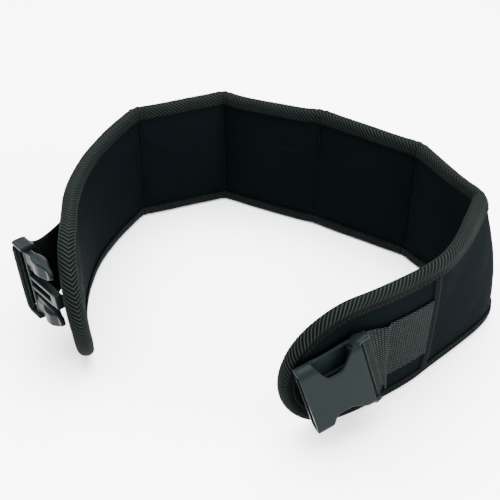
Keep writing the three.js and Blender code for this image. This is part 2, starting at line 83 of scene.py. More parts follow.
# One row for each seam, bend or tip, from the left tip round the back to the right tip, in mm.
# x, y: place on the plan. lean: how far the top edge stands outside the bottom one. belly: bulge
# outwards half way up. edge: half the padding's thickness under the tape. turn: length of the turn.
# bow, sag, pad: bow outwards, dip of the top edge and full thickness of the stretch that ends here.
COLUMNS = ("x", "y", "lean", "belly", "edge", "turn", "bow", "sag", "pad", "seam")
ROWS = [
    dict(zip(COLUMNS, row))
    for row in (
        (-121.4, -92, 9, -1, 4.5, 0, 0, 0, 9.8, False),
        (-134.5, -16, -2.5, 0, 4.1, BEND_LENGTH, 0, 0, 9.6, False),
        (-128.5, 54, -4.5, 0, 3.8, BEND_LENGTH, 2.5, 0, 11, False),
        (-101.5, 118, -3.5, 0, 3.6, FOLD_LENGTH, 1.5, 0, 11, True),
        (-30, 147, -2, 0, 3.6, FOLD_LENGTH, 0, 0.4, 12, True),
        (48.5, 111, 5, 0, 3.6, FOLD_LENGTH, -1, 1.4, 12, True),
        (120, 61.5, 1, 0, 3.6, FOLD_LENGTH, 0, 0.4, 12, True),
        (164, -4, -18, 6, 3.6, BEND_LENGTH, -2.5, 0, 12, True),
        (111, -80.5, 8, 0, 3.7, BEND_LENGTH, 2.5, 0, 12, False),
        (9, -140.5, 8, 0, 3.8, 0, 5, 0, 9.6, False),
    )
]

# Camera of the photograph, on the table's plan: height and place in mm, pitch in degrees below
# level, focal length in widths of the picture
VIEW = {"x": -8.0, "y": -566.0, "z": 469.0, "pitch": 36.5, "focal": 958 / 500}


# Shape of the band


def column(name):
    """One column of the table as numbers."""
    return np.array([float(row[name]) for row in ROWS])


def middle_line(step=0.5):
    """Plan line of the band: bowed stretches from row to row, then a moving mean that is as long as
    the turn at each row, which rounds the corner there."""
    x, y, bow = column("x"), column("y"), column("bow")
    points, at = [np.array([[x[0], y[0]]])], [0]
    for k in range(1, len(ROWS)):
        start = np.array([x[k - 1], y[k - 1]])
        along = np.array([x[k], y[k]]) - start
        length = np.hypot(*along)
        outward = np.array([-along[1], along[0]]) / length
        t = np.arange(1, round(length / step) + 1)[:, None] / round(length / step)
        points.append(start + along * t + outward * bow[k] * 4 * t * (1 - t))
        at.append(at[-1] + len(t))
    raw = np.concatenate(points)
    index = np.arange(len(raw))
    half = np.zeros(len(raw))
    for row, place in zip(ROWS, at):
        reach = row["turn"] / 2 / step
        off = np.abs(index - place)
        half = np.maximum(half, np.where(off < 2 * reach, np.minimum(reach, 2 * reach - off), 0))
    half = np.floor(np.minimum(half, np.minimum(index, len(raw) - 1 - index))).astype(int)
    sums = np.concatenate([np.zeros((1, 2)), np.cumsum(raw, axis=0)])
    line = (sums[index + half + 1] - sums[index - half]) / (2 * half + 1)[:, None]
    lengths = np.concatenate([[0], np.cumsum(np.hypot(*np.diff(line, axis=0).T))])
    return line, lengths, lengths[at]


LINE, LENGTHS, ROW_S = middle_line()
TOTAL = float(LENGTHS[-1])
HEM_S = {"left": HEM_FROM_TIP, "right": TOTAL - HEM_FROM_TIP}


def on_line(s):
    """Plan place of the line at s."""
    return np.interp(s, LENGTHS, LINE[:, 0]), np.interp(s, LENGTHS, LINE[:, 1])


def outward_table():
    """Unit outward direction at each point of the line, from its neighbours 2 mm away."""
    ahead, behind = on_line(LENGTHS + 2), on_line(LENGTHS - 2)
    direction = np.stack([behind[1] - ahead[1], ahead[0] - behind[0]], 1)
    return direction / np.linalg.norm(direction, axis=1)[:, None]


OUTWARD = outward_table()


def smooth(t):
    """Goes from 0 to 1 with level ends: three times the square of t less twice its cube."""
    t = np.clip(t, 0, 1)
    return t * t * (3 - 2 * t)


def bell(off, width):
    """1 in the middle, falling to nothing on both sides as the exponential of minus the square."""
    return np.exp(-((off / width) ** 2))


def stretch_of(s):
    """Number of the row that ends the stretch at s, and how far along the stretch s is."""
    k = np.clip(np.searchsorted(ROW_S, s, side="left"), 1, len(ROWS) - 1)
    return k, (s - ROW_S[k - 1]) / (ROW_S[k] - ROW_S[k - 1])


def between_rows(name, s):
    """A column of the table at s: it changes smoothly from one row to the next."""
    k, t = stretch_of(s)
    values = column(name)
    return values[k - 1] + (values[k] - values[k - 1]) * smooth(t)


def on_band(s, h, w):
    """Point at s along the band, h above its lower edge and w outside its middle surface. The wall
    leans and bellies with the height, and its top edge dips between seams."""
    s, h, w = np.broadcast_arrays(np.asarray(s, float), np.asarray(h, float), np.asarray(w, float))
    x, y = on_line(s)
    ox, oy = np.interp(s, LENGTHS, OUTWARD[:, 0]), np.interp(s, LENGTHS, OUTWARD[:, 1])
    up = 2 * h / BAND_HEIGHT - 1
    reach = w + between_rows("lean", s) * up / 2 + between_rows("belly", s) * (1 - up * up)
    k, t = stretch_of(s)
    dip = column("sag")[k] * smooth(1.6 * np.sin(np.pi * np.clip(t, 0, 1)))
    return np.stack([x + ox * reach, y + oy * reach, h * (1 - dip / BAND_HEIGHT)], -1)


def pad_half(s, from_outline, crown=None):
    """Half the padding's thickness: thin at a seam, thick in the middle of a pocket, and eased down
    to the edge thickness under the tape. crown is from 0 to 1 and replaces the pocket's own."""
    k, t = stretch_of(s)
    seam, pad = np.array([row["seam"] for row in ROWS]), column("pad")
    after = np.append(pad[1:], pad[-1])
    start = np.where(seam[k - 1], SEAM_HALF, np.minimum(pad[k - 1], pad[k]) / 2)
    end = np.where(seam[k], SEAM_HALF, np.minimum(pad[k], after[k]) / 2)
    ends = start + (end - start) * t
    if crown is None:
        crown = np.sin(np.pi * np.clip(t, 0, 1)) ** SOLID_CROWN
    middle = ends + (pad[k] / 2 - ends) * crown
    edge = between_rows("edge", s)
    inset = np.clip((from_outline - TAPE_ON_FACE - FLAT_PAST_TAPE) / PAD_EASE, 0, 1)
    return edge + (middle - edge) * (1 - (1 - inset) ** 3)


# Making meshes

MAP_PER_MM = 0.1

# Rounding of a bar's ends as a share of its smaller half width, and the half width of a stitch at
# its five rings as shares of its radius
END_ROUNDING = 0.35
BEAD_SIZES = (0.35, 0.9, 1.0, 0.9, 0.35)


def grid_faces(rows, columns, wrap_rows, wrap_columns):
    """Quads between the neighbours of a grid, and the row and column of each of their corners."""
    i = np.arange(rows if wrap_rows else rows - 1)[:, None]
    j = np.arange(columns if wrap_columns else columns - 1)[None, :]
    i2, j2 = (i + 1) % rows, (j + 1) % columns
    quads = np.stack([i * columns + j, i2 * columns + j, i2 * columns + j2, i * columns + j2], -1)
    row, line = np.broadcast_arrays(i, j)
    steps = ((0, 0), (1, 0), (1, 1), (0, 1))
    spots = np.stack([(row + down, line + right) for down, right in steps])
    return quads.reshape(-1, 4), spots.reshape(4, 2, -1).transpose(2, 0, 1)


def grid_patch(points, uv=None, wrap_rows=False, wrap_columns=False, caps=False):
    """One patch: points (rows, columns, 3), quads between neighbours, and two end faces for caps.
    uv has one more line than points in each wrapped direction."""
    rows, columns = points.shape[:2]
    quads, spots = grid_faces(rows, columns, wrap_rows, wrap_columns)
    faces = quads.tolist()
    corners = None if uv is None else uv[spots[:, :, 0], spots[:, :, 1]].reshape(-1, 2)
    if caps:
        first, last = list(range(columns)), list(range((rows - 1) * columns, rows * columns))
        faces += [first, last[::-1]]
        if uv is not None:
            ends = [uv[0, :columns], uv[-1, :columns][::-1]]
            corners = np.concatenate([corners, *ends])
    return points.reshape(-1, 3), faces, corners


def surface_map(along, around):
    """Map of a patch: lengths along and around it in mm, so that 1 on the map is 10 mm."""
    return np.stack(np.broadcast_arrays(along[:, None], around[None, :]), -1) * MAP_PER_MM


def turn_outwards(mesh, weld=0.0):
    """Joins points that are nearer than weld and turns the faces outwards."""
    work = bmesh.new()
    work.from_mesh(mesh)
    if weld:
        bmesh.ops.remove_doubles(work, verts=work.verts, dist=weld)
        bmesh.ops.dissolve_degenerate(work, edges=work.edges, dist=weld / 2)
    bmesh.ops.recalc_face_normals(work, faces=work.faces)
    work.to_mesh(mesh)
    work.free()


def make_piece(name, patches, material, weld=1e-6):
    """Mesh object of one or more patches, in metres in the row frame, its faces turned outwards."""
    verts, faces, corners, base = [], [], [], 0
    for points, patch_faces, uv in patches:
        verts.append(points)
        faces += [[v + base for v in face] for face in patch_faces]
        count = sum(len(face) for face in patch_faces)
        corners.append(np.zeros((count, 2)) if uv is None else uv)
        base += len(points)
    mesh = bpy.data.meshes.new(name)
    mesh.from_pydata(((np.concatenate(verts) + SHIFT) * MM).tolist(), [], faces)
    layer = mesh.uv_layers.new(name="surface")
    layer.data.foreach_set("uv", np.concatenate(corners).astype(np.float32).ravel())
    turn_outwards(mesh, weld)
    mesh.validate()
    mesh.polygons.foreach_set("use_smooth", np.ones(len(mesh.polygons), bool))
    piece = bpy.data.objects.new(name, mesh)
    bpy.context.scene.collection.objects.link(piece)
    mesh.materials.append(material)
    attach(piece, "root")
    return piece


def beam(path, across, width, depth, steps=20, square=4.0):
    """Rounded bar along a path: its section is a superellipse of the given half width along the
    across direction and half depth along path x across. width and depth may change along it, and
    each end closes through four rings, set out as a quarter circle, to a flat cap."""
    path, across = np.asarray(path, float), np.asarray(across, float)
    count = len(path)
    across = np.broadcast_to(across, path.shape)
    width = np.broadcast_to(np.asarray(width, float), (count,))
    depth = np.broadcast_to(np.asarray(depth, float), (count,))
    tangent = np.gradient(path, axis=0)
    tangent /= np.linalg.norm(tangent, axis=1)[:, None]
    side = across - tangent * np.sum(across * tangent, 1)[:, None]
    side /= np.linalg.norm(side, axis=1)[:, None]
    other = np.cross(tangent, side)
    angle = np.linspace(0, 2 * np.pi, steps, endpoint=False) + np.pi / steps
    c, s = np.cos(angle), np.sin(angle)
    a = np.sign(c) * np.abs(c) ** (2 / square)
    b = np.sign(s) * np.abs(s) ** (2 / square)

    def ring(k, push, shrink):
        centre = path[k] + tangent[k] * push
        wide, deep = a * (width[k] - shrink), b * (depth[k] - shrink)
        return centre + side[k] * wide[:, None] + other[k] * deep[:, None]

    turn = np.linspace(0, np.pi / 2, 4)
    cap = np.minimum(width, depth) * END_ROUNDING
    rings = [ring(0, -cap[0] * np.cos(t), cap[0] * (1 - np.sin(t))) for t in turn]
    rings += [ring(k, 0, 0) for k in range(count)]
    rings += [ring(-1, cap[-1] * np.cos(t), cap[-1] * (1 - np.sin(t))) for t in turn[::-1]]
    points = np.array(rings)
    run = np.concatenate([[0], np.cumsum(np.linalg.norm(np.diff(points.mean(1), axis=0), axis=1))])
    around = np.linspace(0, 4 * (width.mean() + depth.mean()), steps + 1)
    return grid_patch(points, surface_map(run, around), wrap_columns=True, caps=True)


def threads(path, outward, stitch=2.6, gap=0.9, radius=0.32, sink=0.1):
    """Stitches along a path: each is a six-sided bead of five rings, thin at both ends, that rises
    outwards and sinks again as half a sine."""
    path, outward = np.asarray(path, float), np.asarray(outward, float)
    run = np.concatenate([[0], np.cumsum(np.linalg.norm(np.diff(path, axis=0), axis=1))])
    count = max(int(run[-1] / (stitch + gap)), 1)
    starts = (np.arange(count) + 0.5) * run[-1] / count - stitch / 2
    rings, sides = len(BEAD_SIZES), 6
    t = np.linspace(0, 1, rings)
    at = starts[:, None] + stitch * t
    centre = np.stack([np.interp(at, run, path[:, i]) for i in range(3)], -1)
    lift = np.stack([np.interp(at, run, outward[:, i]) for i in range(3)], -1)
    lift /= np.linalg.norm(lift, axis=-1, keepdims=True)
    along = np.gradient(centre, axis=1)
    along /= np.linalg.norm(along, axis=-1, keepdims=True)
    side = np.cross(along, lift)
    rise = radius * 0.9 * np.sin(np.pi * t) - sink
    centre = centre + lift * rise[None, :, None]
    angle = np.linspace(0, 2 * np.pi, sides, endpoint=False)
    size = radius * np.array(BEAD_SIZES)[:, None]
    wide, high = (np.cos(angle) * size)[None, ..., None], (np.sin(angle) * size)[None, ..., None]
    points = centre[:, :, None, :] + side[:, :, None, :] * wide + lift[:, :, None, :] * high
    quads, _ = grid_faces(rings, sides, False, True)
    each = rings * sides
    one = quads.tolist() + [list(range(sides)), list(range(each - sides, each))[::-1]]
    faces = [[v + each * k for v in face] for k in range(count) for face in one]
    return points.reshape(-1, 3), faces, None


# Outline of the band seen flat: a long stadium


def outline_lines(s_list, depths, tip_steps):
    """For each sample round the outline and each depth inside it, the place s along the band, the
    height h, and the length run along the edge. Runs: top, right tip, bottom, left tip."""
    d = np.asarray(depths, float)[None, :]
    s = np.asarray(s_list, float)[:, None]
    angle = (np.pi * np.arange(1, tip_steps) / tip_steps)[:, None]
    across, up = (END_RADIUS - d) * np.sin(angle), (END_RADIUS - d) * np.cos(angle)
    top = (s + 0 * d, BAND_HEIGHT - d + 0 * s)
    right = (TOTAL - END_RADIUS + across, END_RADIUS + up)
    bottom = (s[::-1] + 0 * d, d + 0 * s)
    left = (END_RADIUS - across, END_RADIUS - up)
    places = [np.concatenate([part[i] for part in (top, right, bottom, left)]) for i in (0, 1)]
    straight, arc = s[-1, 0] - s[0, 0], np.pi * END_RADIUS
    ahead, turn, back = s[:, 0] - s[0, 0], angle[:, 0] * END_RADIUS, s[-1, 0] - s[::-1, 0]
    runs = [ahead, straight + turn, straight + arc + back, 2 * straight + arc + turn]
    return places[0], places[1], np.concatenate(runs)


def plan_shift():
    """From the table's plan to the row frame: the tape's outer faces are set in the node's box."""
    depths = [TAPE_ON_FACE, TAPE_THICKNESS + GAP + EDGE_DEPTH]
    s, h, _ = outline_lines(np.arange(END_RADIUS, TOTAL - END_RADIUS, 1.0), depths, 24)
    reach = between_rows("edge", s) + GAP + TAPE_THICKNESS
    points = np.concatenate([on_band(s, h, side * reach) for side in (-1, 1)]).reshape(-1, 3)
    middle = (points.min(0) + points.max(0)) / 2
    low, high = np.array(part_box("edge_binding")) / MM
    return np.array([*((low + high) / 2 - middle)[:2], 0.0])


SHIFT = plan_shift()


def body_stations(step, near_step, reach):
    """Places along the band: close together near the seams, wider apart between them."""
    base = np.arange(END_RADIUS, TOTAL - END_RADIUS, near_step)
    seams = np.array([s for s, row in zip(ROW_S, ROWS) if row["seam"]])
    off = np.abs(base[:, None] - seams[None, :]).min(1)
    weight = np.where(off < reach, 1.0, near_step / step)
    count = np.floor(np.cumsum(weight))
    keep = np.concatenate([[True], np.diff(count) > 0])
    return np.append(base[keep], TOTAL - END_RADIUS)


# Padded body

# Cloth simulation: points along and up the band, frames, and how full the flat tube starts
CLOTH_PLACES = 133
CLOTH_HEIGHTS = 27
CLOTH_FRAMES = 20
TUBE_SHARE = 0.7
CLOTH_SETTINGS = {
    "quality": 6,
    "mass": 0.25,
    "tension_stiffness": 12,
    "compression_stiffness": 12,
    "shear_stiffness": 6,
    "bending_stiffness": 1.2,
    "shrink_min": -0.012,
    "use_pressure": True,
    "uniform_pressure_force": 4,
}
LARGEST_BULGE = 16.0
LARGEST_CROWN = 1.12

# Crown of a sewn pocket as a power of a sine, and how much of the simulated one is mixed in
SEWN_CROWN = 0.7
BLOWN_SHARE = 0.55
FILL_DEPTH = 0.22

# Stitched channels: depth and width of the groove, of the soft valley and of the pulls beside it
GROOVE_DEPTH = 1.5
GROOVE_WIDTH = 1.5
VALLEY_DEPTH = 0.7
VALLEY_WIDTH = 5.0
PULL_DEPTH = 0.16
PULL_WIDTH = 7.5
STITCH_PITCH = 3.5


def pocket_tube(s, h):
    """Flat tube of cloth at the places s and round the heights h, held near the seams, the hems and
    the tape. Returns it with its points and 1 or -1 for the outer or inner face."""
    height = np.concatenate([h, h[::-1]])
    face = np.concatenate([np.ones(len(h)), -np.ones(len(h))])
    start = on_band(s[:, None], height, between_rows("edge", s)[:, None] * TUBE_SHARE * face)
    points, quads, _ = grid_patch(start, wrap_columns=True)
    mesh = bpy.data.meshes.new("pocket_tube")
    mesh.from_pydata((points * MM).tolist(), [], [quad[::-1] for quad in quads])
    turn_outwards(mesh)
    tube = bpy.data.objects.new("pocket_tube", mesh)
    bpy.context.scene.collection.objects.link(tube)
    seams = np.array([place for place, row in zip(ROW_S, ROWS) if row["seam"]])
    at_seam = np.abs(s[:, None] - seams[None, :]).min(1) < 2.6
    at_hem = (s < s[0] + 3) | (s > s[-1] - 3)
    at_tape = np.minimum(height, BAND_HEIGHT - height) < TAPE_ON_FACE + 1
    held = (at_seam | at_hem)[:, None] | at_tape[None, :]
    group = tube.vertex_groups.new(name="held")
    group.add(np.flatnonzero(held.ravel()).tolist(), 1.0, "REPLACE")
    return tube, start, face


def blow_up(tube):
    """Points of the tube in mm after a cloth simulation with pressure. The tube is removed."""
    cloth = tube.modifiers.new("cloth", "CLOTH")
    for name, value in CLOTH_SETTINGS.items():
        setattr(cloth.settings, name, value)
    cloth.settings.vertex_group_mass = "held"
    cloth.settings.effector_weights.gravity = 0
    cloth.point_cache.frame_start, cloth.point_cache.frame_end = 1, CLOTH_FRAMES
    scene = bpy.context.scene
    for number in range(1, CLOTH_FRAMES + 1):
        scene.frame_set(number)
    blown = tube.evaluated_get(bpy.context.evaluated_depsgraph_get()).to_mesh()
    places = np.zeros(len(blown.vertices) * 3, np.float32)
    blown.vertices.foreach_get("co", places)
    scene.frame_set(1)
    bpy.data.objects.remove(tube)
    return places.reshape(-1, 3) / MM


def shared_out(bulge, pocket):
    """A bulge in mm as a crown: each pocket's is divided by almost its largest value."""
    bulge = np.clip(bulge, 0, LARGEST_BULGE)
    crown = np.zeros_like(bulge)
    for number in np.unique(pocket):
        inside = pocket == number
        crown[inside] = bulge[inside] / max(np.percentile(bulge[inside], 97), 1e-3)
    return np.clip(crown, 0, LARGEST_CROWN)


def pocket_crowns(quick):
    """Crown of the outer and inner face from 0 to 1 on a grid of places s and heights h between the
    hems. A cloth simulation with pressure blows up a flat tube that is held along the seams, the
    hems and the tape; its bulge, shared out by pocket, is the crown."""
    s = np.linspace(HEM_S["left"], HEM_S["right"], CLOTH_PLACES)
    h = np.linspace(0, BAND_HEIGHT, CLOTH_HEIGHTS)
    pocket, t = stretch_of(s)
    if quick:
        plain = np.sqrt(np.sin(np.pi * np.clip(t, 0, 1)))[:, None] + 0 * h
        return s, h, {1: plain, -1: plain}
    tube, start, face = pocket_tube(s, h)
    moved = blow_up(tube).reshape(start.shape) - start
    ox, oy = np.interp(s, LENGTHS, OUTWARD[:, 0]), np.interp(s, LENGTHS, OUTWARD[:, 1])
    bulge = (moved[..., 0] * ox[:, None] + moved[..., 1] * oy[:, None]) * face
    outer, inner = bulge[:, :CLOTH_HEIGHTS], bulge[:, CLOTH_HEIGHTS:][:, ::-1]
    return s, h, {1: shared_out(outer, pocket), -1: shared_out(inner, pocket)}


def soften(field, times):
    """Blurs a field with a short window in both directions, its border repeated."""
    for _ in range(times):
        padded = np.pad(field, 1, mode="edge")
        field = (padded[:-2, 1:-1] + 2 * padded[1:-1, 1:-1] + padded[2:, 1:-1]) / 4
        padded = np.pad(field, 1, mode="edge")
        field = (padded[1:-1, :-2] + 2 * padded[1:-1, 1:-1] + padded[1:-1, 2:]) / 4
    return field


def finer(s, h, field, times=4):
    """The same field on a grid several times as fine, linear between its points and then blurred."""
    s2 = np.linspace(s[0], s[-1], (len(s) - 1) * times + 1)
    h2 = np.linspace(h[0], h[-1], (len(h) - 1) * times + 1)
    wide = np.stack([np.interp(s2, s, field[:, j]) for j in range(len(h))], 1)
    full = np.stack([np.interp(h2, h, wide[i]) for i in range(len(s2))], 0)
    return s2, h2, soften(full, times * 2)


def sample(s_grid, h_grid, field, s, h):
    """Bilinear value of a field at s and h."""
    i = np.clip((s - s_grid[0]) / (s_grid[1] - s_grid[0]), 0, len(s_grid) - 1.001)
    j = np.clip((h - h_grid[0]) / (h_grid[1] - h_grid[0]), 0, len(h_grid) - 1.001)
    i0, j0 = i.astype(int), j.astype(int)
    a, b = i - i0, j - j0
    return (
        field[i0, j0] * (1 - a) * (1 - b)
        + field[i0 + 1, j0] * a * (1 - b)
        + field[i0, j0 + 1] * (1 - a) * b
        + field[i0 + 1, j0 + 1] * a * b
    )


def seam_groove(s, h):
    """Depth of the stitched channels: a narrow bell across each seam, deeper at each stitch, in a
    wider soft valley, with shallow pulls beside it that fade away from the seam."""
    total = np.zeros(np.broadcast(s, h).shape)
    for place, row in zip(ROW_S, ROWS):
        if row["seam"]:
            off = s - place
            stitch = 0.78 + 0.22 * np.cos(2 * np.pi * h / STITCH_PITCH)
            pull = PULL_DEPTH * np.cos(2 * np.pi * h / 17 + 0.7 * np.sin(h / 9 + place))
            total += GROOVE_DEPTH * stitch * bell(off, GROOVE_WIDTH)
            total += VALLEY_DEPTH * bell(off, VALLEY_WIDTH) + pull * bell(off, PULL_WIDTH)
    return total


def pocket_creases(s, h):
    """Soft creases in the cloth: a shallow bell across a slightly slanted line that fades at both
    ends, for each row of start, end, height, slope, width and depth."""
    creases = (
        (ROW_S[5] - 44, ROW_S[5] - 6, 72.0, -0.05, 1.5, 0.8),
        (ROW_S[5] - 40, ROW_S[5] - 14, 67.5, -0.03, 2.0, -0.22),
        (ROW_S[5] + 8, ROW_S[5] + 30, 84.0, 0.1, 2.2, 0.25),
        (ROW_S[4] - 26, ROW_S[4] - 5, 78.0, 0.12, 2.2, 0.22),
        (ROW_S[6] - 30, ROW_S[6] - 5, 30.0, -0.16, 2.6, 0.25),
        (ROW_S[7] - 20, ROW_S[7] - 3, 70.0, 0.2, 2.4, 0.3),
    )
    total = np.zeros(np.broadcast(s, h).shape)
    for start, end, height, slope, width, depth in creases:
        t = (s - start) / (end - start)
        fade = smooth(t * 3) * smooth((1 - t) * 3)
        line = height + slope * (s - start)
        total += depth * fade * bell(h - line, width)
    return total


def face_half(s, h, from_outline, side, crowns):
    """Half the thickness of the finished padding on one face, with its crown, channels, creases
    and a slow unevenness from the fill. Between the hems, the crown is partly a power of a sine and
    partly the simulated one."""
    s_grid, h_grid, fields = crowns
    _, t = stretch_of(s)
    own = np.sin(np.pi * np.clip(t, 0, 1)) ** SEWN_CROWN
    blown = sample(s_grid, h_grid, fields[side], s, h)
    inside = smooth((s - HEM_S["left"] - 2) / 10) * smooth((HEM_S["right"] - 2 - s) / 10)
    mixed = np.minimum(blown * BLOWN_SHARE + own * (1 - BLOWN_SHARE), 1.03)
    half = pad_half(s, from_outline, own * (1 - inside) + mixed * inside)
    free = smooth((from_outline - TAPE_ON_FACE + 0.5) / 4)
    fill = FILL_DEPTH * np.sin(s / 13 + 1.7 * side) * np.sin(h / 15 + s / 41) * inside
    marks = seam_groove(s, h) + (pocket_creases(s, h) if side < 0 else 0)
    return half + free * (fill - marks)


def body_patch(crowns):
    """Padded body: the profile goes from the middle of the inner face out to the rounded edge and
    back over the outer face, and is carried round the outline."""
    inset = TAPE_THICKNESS + GAP
    centre = inset + EDGE_DEPTH
    face = np.concatenate([np.linspace(END_RADIUS, 14, 20), np.linspace(12.4, 8.6, 6), [centre]])
    turned = np.radians([67.5, 45, 22.5])
    rounded, flat = centre - EDGE_DEPTH * np.cos(turned), np.ones(len(face))
    depths = np.concatenate([face, rounded, [inset], rounded[::-1], face[::-1]])
    sides = np.concatenate([-flat, -np.sin(turned), [0], np.sin(turned[::-1]), flat])
    s, h, run = outline_lines(body_stations(2.1, 0.7, 4.5), depths, 26)
    d = np.broadcast_to(depths, s.shape)
    outer, inner = face_half(s, h, d, 1, crowns), face_half(s, h, d, -1, crowns)
    half = np.where(sides > 0, outer, inner)
    half = np.where(np.abs(sides) == 1, half, between_rows("edge", s))
    points = on_band(s, h, sides * half)
    across = np.cumsum(np.concatenate([[0], np.hypot(np.diff(depths), np.diff(sides * 4.0))]))
    return grid_patch(points, surface_map(np.append(run, run[-1] + 1), across), wrap_rows=True)


# Edge tape

# Slant of the ribs in mm along for each mm across, and how far inside the edge they point
MIDDLE_SLANT = 1.0
OUTER_SLANT = 2.2
POINT_INWARD = 2.0

# Distance between sections of the tape in mm, their number round a tip, and how far its woven border
# stands out
TAPE_STATION = 0.56
TAPE_TIP_STEPS = 300
TAPE_BORDER = 0.35

# Stitch line inside the tape's border, and the ripples at a seam
STITCH_INSET = 1.6
PUCKER_DEPTH = 0.5
PUCKER_REACH = 7.0


def herringbone(along, across, pitch, middle):
    """Height from 0 to 1 of slanted ribs: a raised cosine of the place along the tape less the
    slant. Ribs meet in a point a little inside the edge, slant more in the outer columns than in
    the middle ones, and sink where two columns meet."""
    off = np.abs(across - POINT_INWARD)
    slant = MIDDLE_SLANT * np.minimum(off, middle) + OUTER_SLANT * np.maximum(off - middle, 0)
    ribs = 0.5 + 0.5 * np.cos(2 * np.pi * (along - slant) / pitch)
    border = np.minimum(off, np.abs(off - middle))
    return ribs * (0.35 + 0.65 * smooth(border / 0.8))


def seam_puckers(run, straight):
    """Small ripples of the tape where the band folds at a seam: a short wave under a bell."""
    total = np.zeros_like(run)
    arc = np.pi * END_RADIUS
    for place, row in zip(ROW_S, ROWS):
        if row["seam"]:
            for centre in (place - END_RADIUS, 2 * straight + arc - (place - END_RADIUS)):
                off = run - centre
                total += (PUCKER_DEPTH * np.cos(off * 1.1 + place) - 0.15) * bell(off, PUCKER_REACH)
    return total


def tape_section():
    """Section of the folded tape, from its border on the outer face over the edge to the inner face
    and back underneath: distance inside the outline, side of the band from 1 outside to -1 inside,
    and level in the tape, 1 on its outer skin and 0 underneath."""
    inner = EDGE_DEPTH + GAP
    centre = inner + TAPE_THICKNESS
    flat = np.linspace(TAPE_ON_FACE, centre, 8)[:-1]
    turned = np.linspace(np.pi / 2, 0, 7)
    half_d = np.concatenate([flat, centre - centre * np.cos(turned)])
    half_side = np.concatenate([np.ones(len(flat)), np.sin(turned)])
    skin_d = np.concatenate([half_d, half_d[-2::-1]])
    skin_side = np.concatenate([half_side, -half_side[-2::-1]])
    under = np.radians([-90, -45, 0, 45, 90])
    under_d = np.concatenate([[TAPE_ON_FACE], centre - inner * np.cos(under), [TAPE_ON_FACE]])
    under_side = np.concatenate([[-1], np.sin(under), [1]])
    border = [TAPE_ON_FACE + TAPE_BORDER]
    depths = np.concatenate([skin_d, border, under_d, border])
    sides = np.concatenate([skin_side, [-1], under_side, [1]])
    level = np.concatenate([np.ones(len(skin_d)), [0.5], np.zeros(len(under_d)), [0.5]])
    return depths, sides, level


def tape_patch(sizes, part):
    """Tape folded over the edge: a C section with ribbed outer skin, rounded woven borders and
    plain inner skin, carried along the upper or lower half of the outline."""
    straight = TOTAL - 2 * END_RADIUS
    s_list = np.linspace(END_RADIUS, TOTAL - END_RADIUS, int(straight / TAPE_STATION))
    depths, sides, level = tape_section()
    s, h, run = outline_lines(s_list, depths, TAPE_TIP_STEPS)
    first, count, half_tip = len(s_list), len(run), TAPE_TIP_STEPS // 2 - 1
    if part == "upper":
        pick = np.concatenate([np.arange(count - half_tip - 1, count), np.arange(first + half_tip + 2)])
    else:
        pick = np.arange(first + half_tip, count - half_tip + 1)
    s, h, run = s[pick], h[pick], run[pick][:, None]
    is_skin = level == 1
    skin_d, skin_side = depths[is_skin], sides[is_skin]
    across = np.cumsum(np.concatenate([[0], np.hypot(np.diff(skin_d), np.diff(skin_side * 4.9))]))
    across = across - across[-1] / 2
    spread = np.concatenate([across, np.full(np.sum(~is_skin), across[-1])])
    ribs = herringbone(run, spread, sizes.rib_pitch / MM, sizes.rib_column / MM) - 0.5
    puckers = seam_puckers(run, straight)
    wobble = 0.18 * np.sin(run / 23) * np.cos(run / 9.1 + 1)
    grip = 0.3 * bell(np.abs(spread) - across[-1] + STITCH_INSET, 0.7)
    lifted = (ribs * sizes.rib_height / MM + puckers + wobble - grip) * is_skin
    past_edge = lifted * (1 - np.abs(sides)) * 0.9
    reach = between_rows("edge", s) + GAP + TAPE_THICKNESS * level
    height = np.where(h > END_RADIUS, h + past_edge, h - past_edge)
    points = on_band(s, height, sides * (reach + lifted))
    points[..., 2] = np.maximum(points[..., 2], 0.0)
    uv = surface_map(run[:, 0], np.append(spread, spread[0]))
    return grid_patch(points, uv, wrap_columns=True, caps=True)


def tape_stitches(side):
    """Stitch lines near the tape's inner border, on one face, round the whole outline."""
    count = int((TOTAL - 2 * END_RADIUS) / 2)
    stations = np.linspace(END_RADIUS, TOTAL - END_RADIUS, count)
    s, h, _ = outline_lines(stations, [TAPE_ON_FACE - STITCH_INSET], 80)
    s, h = np.append(s[:, 0], s[0, 0]), np.append(h[:, 0], h[0, 0])
    reach = between_rows("edge", s) + GAP + TAPE_THICKNESS
    path = on_band(s, h, side * (reach - 0.05))
    out = on_band(s, h, side * (reach + 5)) - path
    return threads(path, out, stitch=2.4, gap=1.1, radius=0.27, sink=0.14)


def seam_stitches(crowns):
    """Stitch lines down the channels of each seam, on both faces."""
    patches = []
    h = np.linspace(TAPE_ON_FACE + 1, BAND_HEIGHT - TAPE_ON_FACE - 1, 120)
    from_outline = np.minimum(h, BAND_HEIGHT - h)
    for place, row in zip(ROW_S, ROWS):
        if row["seam"]:
            s = np.full_like(h, place)
            for side in (1, -1):
                half = face_half(s, h, from_outline, side, crowns)
                path = on_band(s, h, side * (half + 0.1))
                out = on_band(s, h, side * (half + 5)) - path
                patches.append(threads(path, out, stitch=2.5, gap=1.0, radius=0.26))
    return patches


# Hems

# Beads across a hem, where 1 is its border on the strap's side: middle, half width and height
WIDE_BEAD = (-0.45, 0.5, 1.0)
NARROW_BEAD = (0.72, 0.25, 0.85)
HEM_VALLEY = 0.28


def bead(across, middle, half, height):
    """Half an ellipse of the given half width and height about middle."""
    return height * np.sqrt(np.clip(1 - ((across - middle) / half) ** 2, 0, 1))


